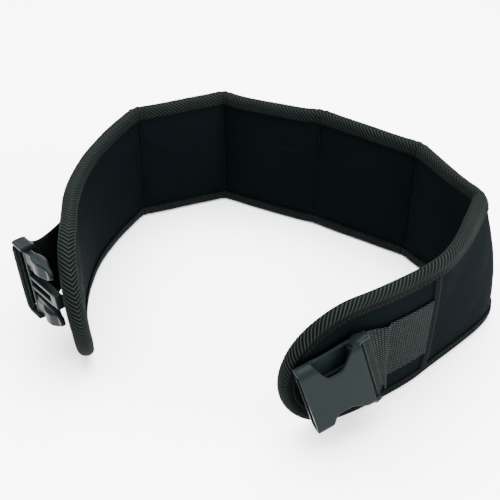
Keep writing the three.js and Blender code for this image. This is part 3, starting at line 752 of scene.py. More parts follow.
def hem_patch(s_hem, slant):
    """Hem where the webbing goes in: a wide rounded bead and a narrow one on the strap's side, up
    the outer face between the runs of tape, with a stitched valley between them."""
    clear = TAPE_ON_FACE + GAP
    h = np.linspace(clear, BAND_HEIGHT - clear, 160)
    across = np.linspace(-1, 1, 33)
    place = s_hem + slant * h / BAND_HEIGHT
    s = place[:, None] + across[None, :] * HEM_WIDTH / 2
    from_outline = np.minimum(h, BAND_HEIGHT - h)
    borders = [pad_half(place + edge, from_outline) for edge in (-HEM_WIDTH / 2, HEM_WIDTH / 2)]
    seat = np.max(borders, axis=0) + 0.1
    to_strap = across * (1 if s_hem > TOTAL / 2 else -1)
    beads = np.maximum(bead(to_strap, *WIDE_BEAD), bead(to_strap, *NARROW_BEAD))
    tuck = 0.25 * np.cos(2 * np.pi * h / STITCH_PITCH)[:, None] * bell(to_strap - HEM_VALLEY, 0.2)
    rise = HEM_RISE * (0.14 + 0.86 * beads)[None, :] - 0.5 * tuck
    over = on_band(s, h[:, None], seat[:, None] + rise)
    under = on_band(s[:, ::-1], h[:, None], seat[:, None])
    points = np.concatenate([over, under], 1)
    around = np.concatenate([across, across[::-1], across[:1]]) * HEM_WIDTH / 2
    strip = grid_patch(points, surface_map(h, around), wrap_columns=True, caps=True)
    path = on_band(place, h, seat + HEM_RISE * 0.42)
    out = on_band(place, h, seat + 8) - path
    return strip, threads(path, out, stitch=2.5, gap=1.0, radius=0.28)


# Buckle frames and webbing

# STRAP_GAP is the webbing's distance from the band, LOOP_SLACK its distance from a bar, and
# YARN_SINK is how far the middle of its relief lies inside its thickness
WEB_WIDTH = 50.0
WEB_THICKNESS = 1.5
STRAP_GAP = 0.45
YARN_SINK = 0.12
LOOP_SLACK = 0.4
BAR_RADIUS = 2.0


def buckle_axes(origin, along, up):
    """Origin and unit axes of a buckle half: u from its bar to the other end, v up across it and
    n square to both."""
    u = np.array(along, float) / np.linalg.norm(along)
    v = np.array(up, float) - u * np.dot(up, u)
    v /= np.linalg.norm(v)
    return np.array(origin, float), u, v, np.cross(u, v)


# Each buckle half's axes and its bar's place (u, n), and how much lower the left strap comes to its
# bar
SOCKET_AXES = buckle_axes((66.1, -137.8, 57), (-0.871, -0.404, -0.275), (-0.28, -0.065, 0.958))
SOCKET_BAR = (-1.5, 7.0)
PLUG_AXES = buckle_axes((-158.4, -45.8, 60.1), (0.602, -0.787, 0.133), (-0.109, 0.084, 0.99))
PLUG_BAR = (-5.3, 2.7)
LEFT_STRAP_DROP = 1.5


def in_buckle(axes, u, v, n):
    """Points at u, v and n in a buckle half's own axes."""
    origin, au, av, an = axes
    u, v, n = np.broadcast_arrays(np.asarray(u, float), np.asarray(v, float), np.asarray(n, float))
    return origin + u[..., None] * au + v[..., None] * av + n[..., None] * an


def flat_row(s, slant=0.0):
    """Top and bottom edge points of webbing that lies on the band at s."""
    low, high = END_RADIUS - WEB_WIDTH / 2, END_RADIUS + WEB_WIDTH / 2
    top_s, bottom_s = s + slant * high / BAND_HEIGHT, s + slant * low / BAND_HEIGHT
    w = pad_half(np.array((top_s + bottom_s) / 2), np.array(END_RADIUS)) + STRAP_GAP + WEB_THICKNESS / 2
    return np.array([on_band(top_s, high, w), on_band(bottom_s, low, w)])


def buckle_row(axes, u, n, drop=0.0):
    """Top and bottom edge points of webbing at a buckle half, lowered by drop."""
    return np.array([in_buckle(axes, u, v - drop, n) for v in (WEB_WIDTH / 2, -WEB_WIDTH / 2)])


def loop_rows(axes, bar, start, end, count):
    """Rows of the loop round a bar, from one angle to another."""
    radius = BAR_RADIUS + LOOP_SLACK + WEB_THICKNESS / 2
    angles = np.radians(np.linspace(start, end, count + 1))
    return [buckle_row(axes, bar[0] + radius * math.cos(a), bar[1] + radius * math.sin(a)) for a in angles]


def between(t, start, end, first, last):
    """Point on the straight line that is at first for start and at last for end."""
    return (end - t) / (end - start) * first + (t - start) / (end - start) * last


def through(rows, count):
    """Smooth line of rows through the given ones: cubic pieces whose end slopes follow the
    neighbouring rows, weighted by the root of their distance."""
    rows = np.array(rows)
    rows = np.concatenate([[2 * rows[0] - rows[1]], rows, [2 * rows[-1] - rows[-2]]])
    gaps = np.sqrt(np.linalg.norm(np.diff(rows.mean(1), axis=0), axis=1))
    knots = np.concatenate([[0], np.cumsum(gaps)])
    result = []
    for i in range(1, len(rows) - 2):
        t = np.linspace(knots[i], knots[i + 1], count, endpoint=False)[:, None, None]
        p, k = rows[i - 1:i + 3], knots[i - 1:i + 3]
        a = [between(t, k[j], k[j + 1], p[j], p[j + 1]) for j in range(3)]
        b = [between(t, k[j], k[j + 2], a[j], a[j + 1]) for j in range(2)]
        result.append(between(t, k[1], k[2], b[0], b[1]))
    result.append(rows[-2][None])
    return np.concatenate(result)


def strap_rows(side):
    """Rows of each strap: flat on the band from its hem, then free to its bar and round it. The
    right one leaves the band over a ridge that stands further out at its lower edge."""
    if side == "right":
        start = HEM_S["right"] + HEM_WIDTH / 2 + GAP
        slants = ((0, 1.0), (12, 0.7), (25, 0.3), (38, 0), (41, 0))
        rows = [flat_row(start + run, HEM_SLANT_RIGHT * part) for run, part in slants]
        high, low = END_RADIUS + WEB_WIDTH / 2, END_RADIUS - WEB_WIDTH / 2
        rows.append(np.array([on_band(start + 45, high, 7.6), on_band(start + 45, low, 15.0)]))
        rows.append(buckle_row(SOCKET_AXES, -8.5, 9.5))
        rows += loop_rows(SOCKET_AXES, SOCKET_BAR, -137, 43, 10)
    else:
        start = HEM_S["left"] - HEM_WIDTH / 2 - GAP
        rows = [flat_row(start - run) for run in (0, 5, 10, 16)]
        rows.append(buckle_row(PLUG_AXES, -5, -11, LEFT_STRAP_DROP))
        rows.append(buckle_row(PLUG_AXES, -6.5, -5.5))
        rows += loop_rows(PLUG_AXES, PLUG_BAR, 235, -10, 11)
    return rows


def basket_weave(along, across, cell_along, cell_across):
    """Height from -1 to 1 of a plain weave: the product of two sines, one for each yarn, with its
    peaks flattened."""
    wave = np.sin(np.pi * along / cell_along) * np.sin(np.pi * across / cell_across)
    return np.sign(wave) * np.abs(wave) ** 0.6


def strap_patch(sizes, side):
    """Webbing: rows of edge points through the strap's stations, filled across, with its thickness
    square to it, the woven relief on both faces and rounded selvedges."""
    line = through(strap_rows(side), 16)
    run = np.concatenate([[0], np.cumsum(np.linalg.norm(np.diff(line.mean(1), axis=0), axis=1))])
    cell_along, cell_across = sizes.weave_along / MM, sizes.weave_across / MM
    fine = np.linspace(0, run[-1], int(run[-1] / (cell_along / 4.3)))
    edges = [[np.interp(fine, run, line[:, edge, i]) for i in range(3)] for edge in (0, 1)]
    top, bottom = np.array(edges).transpose(0, 2, 1)
    normal = np.cross(np.gradient((top + bottom) / 2, axis=0), top - bottom)
    normal /= np.linalg.norm(normal, axis=1)[:, None]
    for _ in range(3):
        normal[1:-1] = (normal[:-2] + 2 * normal[1:-1] + normal[2:]) / 4
    t = np.linspace(0.012, 0.988, int(WEB_WIDTH / (cell_across / 3.1)))
    face = bottom[:, None] + (top - bottom)[:, None] * t[None, :, None]
    place = (t - 0.5) * WEB_WIDTH
    yarns = basket_weave(fine[:, None], place[None, :], cell_along, cell_across)
    relief = yarns * sizes.weave_height / MM - 0.25 * (2 * t - 1) ** 2
    thinned = 0.55 + 0.45 * np.minimum(1, np.minimum(t, 1 - t) / 0.03)
    core = WEB_THICKNESS / 2 - YARN_SINK
    front = face + normal[:, None] * ((relief + core) * thinned)[..., None]
    back = face + normal[:, None] * ((relief - core) * thinned)[..., None]
    points = np.concatenate([bottom[:, None], front, top[:, None], back[:, ::-1]], 1)
    selvedge = WEB_WIDTH / 2 + 0.2
    around = np.concatenate([[-selvedge], place, [selvedge], place[::-1], [-selvedge]])
    return grid_patch(points, surface_map(fine, around), wrap_columns=True, caps=True)


# Buckle halves

# Socket half: length, depth and half width of the shell, rounding of its mouth and its wall
SOCKET_LENGTH = 43.0
SOCKET_DEPTH = 11.0
SOCKET_HALF = 28.7
MOUTH_ROUNDING = 1.6
PLATE = 2.1

# Windows in the socket's sides: depth, start, length of the slope, end and length of the turn
WINDOWS = {
    "front high": (15.6, 1.5, 17.5, 32.6, 8.6),
    "front low": (11.0, -1.0, 20.0, 33.4, 7.6),
    "back high": (3.4, 1.5, 17.5, 32.6, 6.2),
    "back low": (6.5, -1.0, 23.0, 33.4, 7.0),
}


def skin(axes, u, low, high, side):
    """Shell skin of the socket: at each u it runs across from low to high, follows a flat face that
    turns back in a quarter round at each side, and has one wall thickness with a rounded rim.
    side is 1 for the front skin and -1 for the back one."""
    v = low[:, None] + (high - low)[:, None] * np.linspace(0, 1, 61)
    radius = SOCKET_DEPTH / 2
    over = np.clip(np.abs(v) - (SOCKET_HALF - radius), 0, radius - 1e-6)
    n = radius - np.sqrt(radius**2 - over**2)
    slope = over / radius
    inner_v = v - np.sign(v) * slope * PLATE
    inner_n = n + np.sqrt(1 - slope**2) * PLATE
    middle_v, middle_n = (v + inner_v) / 2, (n + inner_n) / 2
    half_v, half_n = (v - inner_v) / 2, (n - inner_n) / 2
    turn = np.linspace(0, np.pi, 7)[1:-1]
    rim, lip = np.sin(turn), np.cos(turn)
    end_v = middle_v[:, -1:] + half_v[:, -1:] * lip - half_n[:, -1:] * rim
    end_n = middle_n[:, -1:] + half_n[:, -1:] * lip + half_v[:, -1:] * rim
    start_v = middle_v[:, :1] - half_v[:, :1] * lip + half_n[:, :1] * rim
    start_n = middle_n[:, :1] - half_n[:, :1] * lip - half_v[:, :1] * rim
    ring_v = np.concatenate([v, end_v, inner_v[:, ::-1], start_v], 1)
    ring_n = np.concatenate([n, end_n, inner_n[:, ::-1], start_n], 1)
    points = in_buckle(axes, u[:, None], ring_v, ring_n if side > 0 else SOCKET_DEPTH - ring_n)
    uv = surface_map(u, np.linspace(-3, 3, ring_v.shape[1] + 1))
    return grid_patch(points, uv, wrap_columns=True, caps=True)


def scoop(u, depth, start, slope, end, turn):
    """Depth of a side window: an S-shaped slope of the given length from start down to the floor,
    and a quarter round of the turn's length that ends square to the rim at end."""
    down = smooth((u - start) / slope)
    up = np.sin(np.pi / 2 * np.clip((end - u) / turn, 0, 1))
    return depth * np.minimum(down, up)


def socket_patches():
    """Socket half: front and back skins whose sides meet in a half round, windows scooped from both
    sides, two inner ribs, side walls at the mouth, cheeks and the bar."""
    axes, out = SOCKET_AXES, SOCKET_AXES[3]
    stretches = ((0.6, 29, 96), (29.1, 33.5, 44), (33.7, SOCKET_LENGTH, 32))
    u = np.concatenate([np.linspace(*stretch) for stretch in stretches])
    to_mouth = np.clip(u - (SOCKET_LENGTH - MOUTH_ROUNDING), 0, MOUTH_ROUNDING) / MOUTH_ROUNDING
    widest = SOCKET_HALF - MOUTH_ROUNDING * (1 - np.sqrt(1 - to_mouth**2))
    rim = {name: widest - scoop(u, *window) for name, window in WINDOWS.items()}
    patches = [
        skin(axes, u, -rim["front low"], rim["front high"], 1),
        skin(axes, u, -rim["back low"], rim["back high"], -1),
    ]
    deep = SOCKET_DEPTH / 2
    for sign, (start, reach) in ((1, (6.0, -6.3)), (-1, (5.0, -3.4))):
        wall = in_buckle(axes, np.linspace(33.5, 42.4, 12), sign * 26.2, deep)
        patches.append(beam(wall, out, 3.6, 2.2, square=3.0))
        cheek_u = start + (reach - start) * np.linspace(0.02, 1, 24) ** 1.5
        cheek = in_buckle(axes, cheek_u, sign * (27.2 - 0.5 * smooth((cheek_u - 2) / 5)), deep)
        nose = np.sqrt(np.clip((start - cheek_u) / 5, 0, 1))
        depth = 4.9 - 1.6 * smooth((2 - cheek_u) / 7)
        patches.append(beam(cheek, out, depth * nose, 1.9 * nose, square=2.6))
    for v in (-9.5, 9.5):
        rib = in_buckle(axes, np.linspace(8, 41.5, 20), v, SOCKET_DEPTH - PLATE - 0.6)
        patches.append(beam(rib, out, 0.9, 0.8, steps=12))
    web = in_buckle(axes, 6.3, np.linspace(-25.5, 25.5, 30), deep)
    patches.append(beam(web, out, 3.5, 1.2))
    rod = in_buckle(axes, SOCKET_BAR[0], np.linspace(-26.5, 26.5, 24), SOCKET_BAR[1])
    patches.append(beam(rod, out, BAR_RADIUS, BAR_RADIUS, square=2.0))
    return patches


# Plug half: half length and middle of its cheeks, the cross block's start and end, the guide's
# reach, half width and slot end, and the arms' reach, tip, blade and start of the finger pad
CHEEK_REACH = 7.5
CHEEK_MIDDLE = 27.4
CROSS_BLOCK = (1.8, 5.5)
GUIDE_REACH = 42.5
GUIDE_HALF = 5.5
GUIDE_SLOT_END = 34.5
PRONG_REACH = 39.5
TIP_ROUNDING = 2.7
BLADE_HALF = 1.8
PAD_FROM = 14.0

# Outlines of a sprung arm as curves of three points each: its inner and outer edge across the
# buckle (u, v) and half the thickness of its finger pad (u, n), in mm
ARM_INNER = (((4, 9.5), (17, 11), (30, 12.5)), ((30, 12.5), (39.5, 14.5), (39.5, 20)))
ARM_OUTER = (
    ((4, 24.8), (9.5, 25.6), (15, 25.8)),
    ((15, 25.8), (21, 25.7), (27, 25.5)),
    ((27, 25.5), (36.5, 24), (39.5, 20)),
)
PAD_THICKNESS = (
    ((3, 2.8), (11, 2.2), (14, 2.4)),
    ((14, 2.4), (19, 5.4), (27, 4.2)),
    ((27, 4.2), (32, 2.8), (39.5, 0)),
)


def curve_at(curves, u):
    """Second coordinate at u of quadratic curves that follow one another along u."""
    t = np.linspace(0, 1, 17)[:, None]
    points = [(1 - t) ** 2 * a + 2 * t * (1 - t) * b + t**2 * c for a, b, c in np.array(curves, float)]
    line = np.concatenate(points)
    return np.interp(u, line[:, 0], line[:, 1])


def arm_patch(axes, sign):
    """Sprung arm: at each u a closed section runs from its inner to its outer edge and back. It is
    as thin as a blade at first and swells to the finger pad, and both edges are rounded."""
    tip_from = PRONG_REACH - TIP_ROUNDING
    rounded = PRONG_REACH - TIP_ROUNDING * np.cos(np.linspace(0.5, 1.4, 10))
    u = np.concatenate([np.linspace(4, tip_from - 0.3, 44), rounded])
    inner, outer = curve_at(ARM_INNER, u)[:, None], curve_at(ARM_OUTER, u)[:, None]
    v = inner + (outer - inner) * (1 - np.cos(np.linspace(0, np.pi, 30))) / 2
    pad = np.maximum(curve_at(PAD_THICKNESS, u), BLADE_HALF)[:, None]
    half = BLADE_HALF + (pad - BLADE_HALF) * smooth((v - PAD_FROM + 0.6) / 1.8)
    off_edge = np.minimum(v - inner, outer - v)
    half = half * np.sqrt(1 - (1 - np.clip(off_edge / 1.1, 0, 1)) ** 2)
    tip = np.sqrt(1 - np.clip((u - tip_from) / (TIP_ROUNDING + 0.05), 0, 1) ** 2)[:, None]
    ring_v = np.concatenate([v, v[:, -2:0:-1]], 1)
    ring_n = np.concatenate([half, -half[:, -2:0:-1]], 1) * tip
    points = in_buckle(axes, u[:, None], sign * ring_v, ring_n)
    uv = surface_map(u, np.linspace(0, 6, ring_v.shape[1] + 1))
    return grid_patch(points, uv, wrap_columns=True, caps=True)


def plug_patches():
    """Plug half: bar, rounded end cheeks, a thin cross block, a slotted guide in the middle and two
    sprung arms that swell to finger pads."""
    axes, up, out = PLUG_AXES, PLUG_AXES[2], PLUG_AXES[3]
    rod = in_buckle(axes, PLUG_BAR[0], np.linspace(-27, 27, 24), PLUG_BAR[1])
    cross = in_buckle(axes, sum(CROSS_BLOCK) / 2, np.linspace(-26.5, 26.5, 40), 0)
    end = in_buckle(axes, np.linspace(GUIDE_SLOT_END, GUIDE_REACH - 0.9, 10), 0, 0)
    patches = [
        beam(rod, out, BAR_RADIUS, BAR_RADIUS, square=2.0),
        beam(cross, out, 3.0, (CROSS_BLOCK[1] - CROSS_BLOCK[0]) / 2, square=5.0, steps=32),
        beam(end, up, GUIDE_HALF, 2.9, square=6.0, steps=32),
    ]
    cheek_u = np.linspace(0.7 - CHEEK_REACH, CHEEK_REACH - 0.7, 16)
    for sign in (1, -1):
        cheek = in_buckle(axes, cheek_u, sign * CHEEK_MIDDLE, 0)
        patches.append(beam(cheek, out, 5.2, 1.95, square=3.2, steps=36))
        rail = in_buckle(axes, np.linspace(5, GUIDE_SLOT_END + 1, 24), sign * (GUIDE_HALF - 1.55), 0)
        patches.append(beam(rail, out, 2.9, 1.5, square=6.0))
        patches.append(arm_patch(axes, sign))
    return patches


# Node groups and materials


def feed(tree, socket, value):
    """Links a socket to another one, or sets it to a plain value."""
    if isinstance(value, bpy.types.NodeSocket):
        tree.links.new(value, socket)
    else:
        socket.default_value = value


def put(tree, kind, **values):
    """A node of a kind with its sockets fed by name; i and a number is a socket's place."""
    node = tree.nodes.new(kind)
    for name, value in values.items():
        by_place = name[0] == "i" and name[1:].isdigit()
        feed(tree, node.inputs[int(name[1:]) if by_place else name], value)
    return node


def math_node(tree, operation, *values):
    """Output of a Math node with its sockets fed in order."""
    node = tree.nodes.new("ShaderNodeMath")
    node.operation = operation
    for socket, value in zip(node.inputs, values):
        feed(tree, socket, value)
    return node.outputs[0]


def product(tree, first, second):
    """Product of two values."""
    return math_node(tree, "MULTIPLY", first, second)


def new_group(name, inputs, outputs):
    """Empty shader node group with float, vector or colour sockets."""
    group = bpy.data.node_groups.new(name, "ShaderNodeTree")
    kinds = {"value": "NodeSocketFloat", "vector": "NodeSocketVector", "colour": "NodeSocketColor"}
    for label, kind, default in inputs:
        socket = group.interface.new_socket(name=label, in_out="INPUT", socket_type=kinds[kind])
        if default is not None:
            socket.default_value = default
    for label, kind in outputs:
        group.interface.new_socket(name=label, in_out="OUTPUT", socket_type=kinds[kind])
    return group, group.nodes.new("NodeGroupInput"), group.nodes.new("NodeGroupOutput")


def mottle_group():
    """Slow and fine unevenness of a finish: two noises mixed by a share, from 0 to 1."""
    inputs = [("Vector", "vector", None), ("Slow", "value", 30.0), ("Fine", "value", 900.0)]
    inputs.append(("Share", "value", 0.35))
    group, start, end = new_group("uneven_finish", inputs, [("Mask", "value")])
    place = start.outputs["Vector"]
    slow = put(group, "ShaderNodeTexNoise", Vector=place, Scale=start.outputs["Slow"], Detail=3.0)
    fine = put(group, "ShaderNodeTexNoise", Vector=place, Scale=start.outputs["Fine"], Detail=2.0)
    mix = put(group, "ShaderNodeMix", i0=start.outputs["Share"], i2=slow.outputs[0], i3=fine.outputs[0])
    group.links.new(mix.outputs[0], end.inputs["Mask"])
    return group


def knit_group():
    """Fine knit face: rows of tiny loops, the product of two waves of the surface's own map,
    loosened by a little noise. Puts out a height from 0 to 1."""
    inputs = [("Vector", "vector", None), ("Loops", "value", 60.0)]
    group, start, end = new_group("fine_knit", inputs, [("Height", "value")])
    place, loops = start.outputs["Vector"], start.outputs["Loops"]
    axes = put(group, "ShaderNodeSeparateXYZ", Vector=place)
    wobble = put(group, "ShaderNodeTexNoise", Vector=place, Scale=14.0, Detail=1.0)
    drift = product(group, wobble.outputs[0], 1.4)
    x = math_node(group, "ADD", product(group, axes.outputs[0], loops), drift)
    y = math_node(group, "ADD", product(group, axes.outputs[1], loops), drift)
    across = math_node(group, "SINE", product(group, y, 1.5))
    wave = product(group, math_node(group, "SINE", x), across)
    group.links.new(math_node(group, "MULTIPLY_ADD", wave, 0.5, 0.5), end.inputs["Height"])
    return group


def ribs_group():
    """Slanted ribs of herringbone tape on the surface's own map, where 1 is 10 mm: along less the
    slant of the middle and the outer columns, through a cosine. Puts out a rib mask from 0 to 1,
    fainter in the outer columns."""
    inputs = [("Vector", "vector", None), ("Pitch", "value", 0.31), ("Column", "value", 0.93)]
    group, start, end = new_group("herringbone_ribs", inputs, [("Ribs", "value")])
    axes = put(group, "ShaderNodeSeparateXYZ", Vector=start.outputs["Vector"])
    from_point = math_node(group, "SUBTRACT", axes.outputs[1], POINT_INWARD * MAP_PER_MM)
    off = math_node(group, "ABSOLUTE", from_point)
    middle = math_node(group, "MINIMUM", off, start.outputs["Column"])
    outer = math_node(group, "SUBTRACT", off, middle)
    slant = math_node(group, "MULTIPLY_ADD", outer, OUTER_SLANT, product(group, middle, MIDDLE_SLANT))
    phase = math_node(group, "SUBTRACT", axes.outputs[0], slant)
    angle = product(group, math_node(group, "DIVIDE", phase, start.outputs["Pitch"]), 2 * math.pi)
    ribs = math_node(group, "MULTIPLY_ADD", math_node(group, "COSINE", angle), 0.5, 0.5)
    fade = put(group, "ShaderNodeMapRange", Value=outer, i1=0.0, i2=0.06, i3=1.0, i4=0.62).outputs[0]
    group.links.new(product(group, ribs, fade), end.inputs["Ribs"])
    return group


def weave_group():
    """Yarns of plain webbing on the surface's own map, where 1 is 10 mm: product of two sines.
    Puts out a mask of raised yarns from 0 to 1."""
    inputs = [("Vector", "vector", None), ("Along", "value", 0.22), ("Across", "value", 0.08)]
    group, start, end = new_group("plain_weave", inputs, [("Yarns", "value")])
    axes = put(group, "ShaderNodeSeparateXYZ", Vector=start.outputs["Vector"])
    waves = []
    for place, cell in zip(axes.outputs, ("Along", "Across")):
        turns = math_node(group, "DIVIDE", place, start.outputs[cell])
        waves.append(math_node(group, "SINE", product(group, turns, math.pi)))
    wave = product(group, *waves)
    group.links.new(math_node(group, "MULTIPLY_ADD", wave, 0.5, 0.5), end.inputs["Yarns"])
    return group


def use_group(tree, group, **values):
    """A shader node group placed in a material, with its inputs fed by name."""
    node = tree.nodes.new("ShaderNodeGroup")
    node.node_tree = group
    for name, value in values.items():
        feed(tree, node.inputs[name], value)
    return node


def start_material(name, roughness, level):
    """New material with its tree, its Principled shader, and Object coordinates and own map."""
    material = bpy.data.materials.new(name)
    material.use_nodes = True
    tree = material.node_tree
    shader = tree.nodes["Principled BSDF"]
    shader.inputs["Roughness"].default_value = roughness
    shader.inputs["Specular IOR Level"].default_value = level
    place = tree.nodes.new("ShaderNodeTexCoord").outputs["Object"]
    surface = tree.nodes.new("ShaderNodeUVMap").outputs["UV"]
    return material, tree, shader, place, surface


def unevenness(tree, groups, place, slow, fine, share):
    """Mask of the uneven finish with the scales of its two noises and the fine one's share."""
    values = {"Vector": place, "Slow": slow, "Fine": fine, "Share": share}
    return use_group(tree, groups["uneven_finish"], **values).outputs["Mask"]


def add_relief(tree, shader, height, strength, distance):
    """Bump on a material from a height, over the bump that it has already."""
    bump = put(tree, "ShaderNodeBump", Strength=strength, Distance=distance, Height=height)
    normal = shader.inputs["Normal"]
    if normal.is_linked:
        tree.links.new(normal.links[0].from_socket, bump.inputs["Normal"])
    tree.links.new(bump.outputs[0], normal)


def blend_colours(tree, shader, mask, dark, light):
    """Base colour that goes from dark to light with a mask."""
    mix = tree.nodes.new("ShaderNodeMix")
    mix.data_type = "RGBA"
    tree.links.new(mask, mix.inputs[0])
    mix.inputs[6].default_value = (*dark, 1)
    mix.inputs[7].default_value = (*light, 1)
    tree.links.new(mix.outputs[2], shader.inputs["Base Color"])


def scaled(colour, factor):
    """A colour made lighter or darker."""
    return tuple(min(c * factor, 1.0) for c in colour)


def vary_roughness(tree, shader, mask, low, high):
    """Roughness that goes from low to high with a mask."""
    rough = put(tree, "ShaderNodeMapRange", Value=mask, i3=low, i4=high)
    tree.links.new(rough.outputs[0], shader.inputs["Roughness"])


def neoprene_material(name, colour, groups):
    """Knit-faced neoprene: near-black, slightly uneven and almost without gloss."""
    material, tree, shader, place, surface = start_material(name, 0.75, 0.003)
    mask = unevenness(tree, groups, place, 26.0, 1100.0, 0.4)
    knit = use_group(tree, groups["fine_knit"], Vector=surface, Loops=62.0).outputs["Height"]
    blend_colours(tree, shader, mask, scaled(colour, 0.78), scaled(colour, 1.25))
    vary_roughness(tree, shader, mask, 0.68, 0.84)
    add_relief(tree, shader, knit, 0.25, 0.00008)
    add_relief(tree, shader, mask, 0.3, 0.0003)
    return material


def tape_material(finish, groups, sizes):
    """Herringbone tape: rib crests painted lighter than the troughs, unevenly so, as a painted highlight on
    the crests and painted shade in the troughs.
    """
    material, tree, shader, place, surface = start_material("herringbone_tape", 0.75, 0.015)
    to_map = MAP_PER_MM / MM
    spacing = {"Pitch": sizes.rib_pitch * to_map, "Column": sizes.rib_column * to_map}
    ribs = use_group(tree, groups["herringbone_ribs"], Vector=surface, **spacing).outputs["Ribs"]
    mask = unevenness(tree, groups, place, 55.0, 1500.0, 0.55)
    sharp = put(tree, "ShaderNodeMapRange", Value=ribs, i1=0.5, i2=1.0, i3=0.0, i4=1.0).outputs[0]
    crest_bump_and_painted_light = product(tree, sharp, math_node(tree, "MULTIPLY_ADD", mask, 1.3, 0.15))
    # Painted light: the rib crests take the tape colour as a painted highlight and the troughs a far darker
    # painted shade, on top of the ribs' bump.
    blend_colours(tree, shader, crest_bump_and_painted_light, scaled(finish.tape, 0.07), finish.tape)
    add_relief(tree, shader, crest_bump_and_painted_light, 0.6, 0.00025)
    return material


def webbing_material(finish, groups, sizes):
    """Woven webbing: raised yarns painted pale grey on their upper parts as a painted highlight, and black
    between them as painted shade.
    """
    material, tree, shader, place, surface = start_material("woven_webbing", 0.75, 0.015)
    to_map = MAP_PER_MM / MM
    cells = {"Along": sizes.weave_along * to_map, "Across": sizes.weave_across * to_map}
    yarns = use_group(tree, groups["plain_weave"], Vector=surface, **cells).outputs["Yarns"]
    mask = unevenness(tree, groups, place, 260.0, 900.0, 0.5)
    yarn_tops_painted_light = put(tree, "ShaderNodeMapRange", Value=yarns, i1=0.74, i2=1.0, i3=0.0, i4=1.0).outputs[0]
    yarn_tops_painted_light = product(tree, yarn_tops_painted_light, math_node(tree, "MULTIPLY_ADD", mask, 1.8, -0.2))
    # Painted light: the highest parts of the yarns take the webbing colour as a painted highlight, and the
    # gaps between them take an almost black painted shade.
    blend_colours(tree, shader, yarn_tops_painted_light, scaled(finish.webbing, 0.03), finish.webbing)
    add_relief(tree, shader, yarns, 0.5, 0.0002)
    return material


def thread_material(finish, groups):
    """Stitching thread, uneven and slightly glossy."""
    material, tree, shader, place, _ = start_material("stitch_thread", 0.6, 0.05)
    mask = unevenness(tree, groups, place, 200.0, 2400.0, 0.7)
    blend_colours(tree, shader, mask, scaled(finish.thread, 0.6), scaled(finish.thread, 1.5))
    add_relief(tree, shader, mask, 0.4, 0.0001)
    return material


def plastic_material(finish, groups):
    """Satin moulded plastic with a fine spark-eroded grain and slightly uneven gloss."""
    material, tree, shader, place, _ = start_material("satin_plastic", 0.3, 0.022)
    mask = unevenness(tree, groups, place, 45.0, 1600.0, 0.5)
    grain = put(tree, "ShaderNodeTexNoise", Vector=place, Scale=3200.0, Detail=2.0)
    blend_colours(tree, shader, mask, scaled(finish.plastic, 0.86), scaled(finish.plastic, 1.14))
    vary_roughness(tree, shader, mask, 0.24, 0.36)
    add_relief(tree, shader, grain.outputs[0], 0.12, 0.00005)
    return material


def floor_material(finish, groups):
    """Plain pale floor."""
    material, tree, shader, place, _ = start_material("pale_floor", 0.9, 0.1)
    mask = unevenness(tree, groups, place, 2.0, 120.0, 0.2)
    blend_colours(tree, shader, mask, scaled(finish.floor, 0.99), finish.floor)
    return material


def finishes(context):
    """The materials of the belt, made once."""
    if "knit_neoprene" not in bpy.data.materials:
        finish, sizes = context.scene.belt_finish, context.scene.belt_sizes
        made = (mottle_group(), knit_group(), ribs_group(), weave_group())
        groups = {group.name: group for group in made}
        neoprene_material("knit_neoprene", finish.neoprene, groups)
        neoprene_material("folded_hem", finish.hem, groups)
        tape_material(finish, groups, sizes)
        webbing_material(finish, groups, sizes)
        thread_material(finish, groups)
        plastic_material(finish, groups)
        floor_material(finish, groups)
    return bpy.data.materials


# The pocket crowns, once crowns_now has worked them out
CROWNS = []


def crowns_now():
    """The pocket crowns, worked out once a run and refined."""
    if not CROWNS:
        s, h, fields = pocket_crowns(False)
        fine = {side: finer(s, h, soften(field, 3)) for side, field in fields.items()}
        CROWNS.append((fine[1][0], fine[1][1], {side: fine[side][2] for side in fine}))
    return CROWNS[0]


# Settings, operators and panel


def length_property(name, description, default, largest):
    """Length in metres that a user can change."""
    limits = {"min": 0.0, "max": largest, "precision": 5}
    return FloatProperty(name=name, description=description, default=default, unit="LENGTH", **limits)


def colour_property(name, description, default):
    """Colour that a user can change."""
    limits = {"size": 3, "min": 0.0, "max": 1.0, "subtype": "COLOR"}
    return FloatVectorProperty(name=name, description=description, default=default, **limits)


class BeltSizes(bpy.types.PropertyGroup):
    """Sizes that a user would change."""

    rib_pitch: length_property("Rib pitch", "Distance along the tape from rib to rib", 0.0031, 0.006)
    rib_column: length_property("Rib column", "Half the width of the middle columns of ribs", 0.0093, 0.014)
    rib_height: length_property("Rib height", "Height of the tape's ribs", 0.0004, 0.001)
    weave_along: length_property("Weave length", "Length of a crossing along the webbing", 0.0022, 0.005)
    weave_across: length_property("Weave width", "Width of a crossing across the webbing", 0.0008, 0.003)
    weave_height: length_property("Weave height", "Relief of the webbing's yarns", 0.00016, 0.0005)


class BeltFinish(bpy.types.PropertyGroup):
    """Colours that a user would change."""

    neoprene: colour_property("Neoprene", "Colour of the padded body", (0.0011, 0.0018, 0.0021))
    hem: colour_property("Hems", "Colour of the piped hems", (0.005, 0.0056, 0.0058))
    # Tape colour is that of the rib crests as a painted highlight; the troughs are painted a far darker
    # shade of it.
    tape: colour_property("Tape", "Colour of the tape's rib crests", (0.0092, 0.0128, 0.0116))
    # Webbing colour is that of the raised yarns as a painted highlight; the gaps are painted an almost
    # black shade of it.
    webbing: colour_property("Webbing", "Colour of the straps' raised yarns", (0.046, 0.064, 0.059))
    thread: colour_property("Thread", "Colour of the stitching", (0.0022, 0.0028, 0.0028))
    plastic: colour_property("Buckle", "Colour of the buckle plastic", (0.0031, 0.005, 0.0049))
    floor: colour_property("Floor", "Colour of the floor", (0.9, 0.9, 0.9))


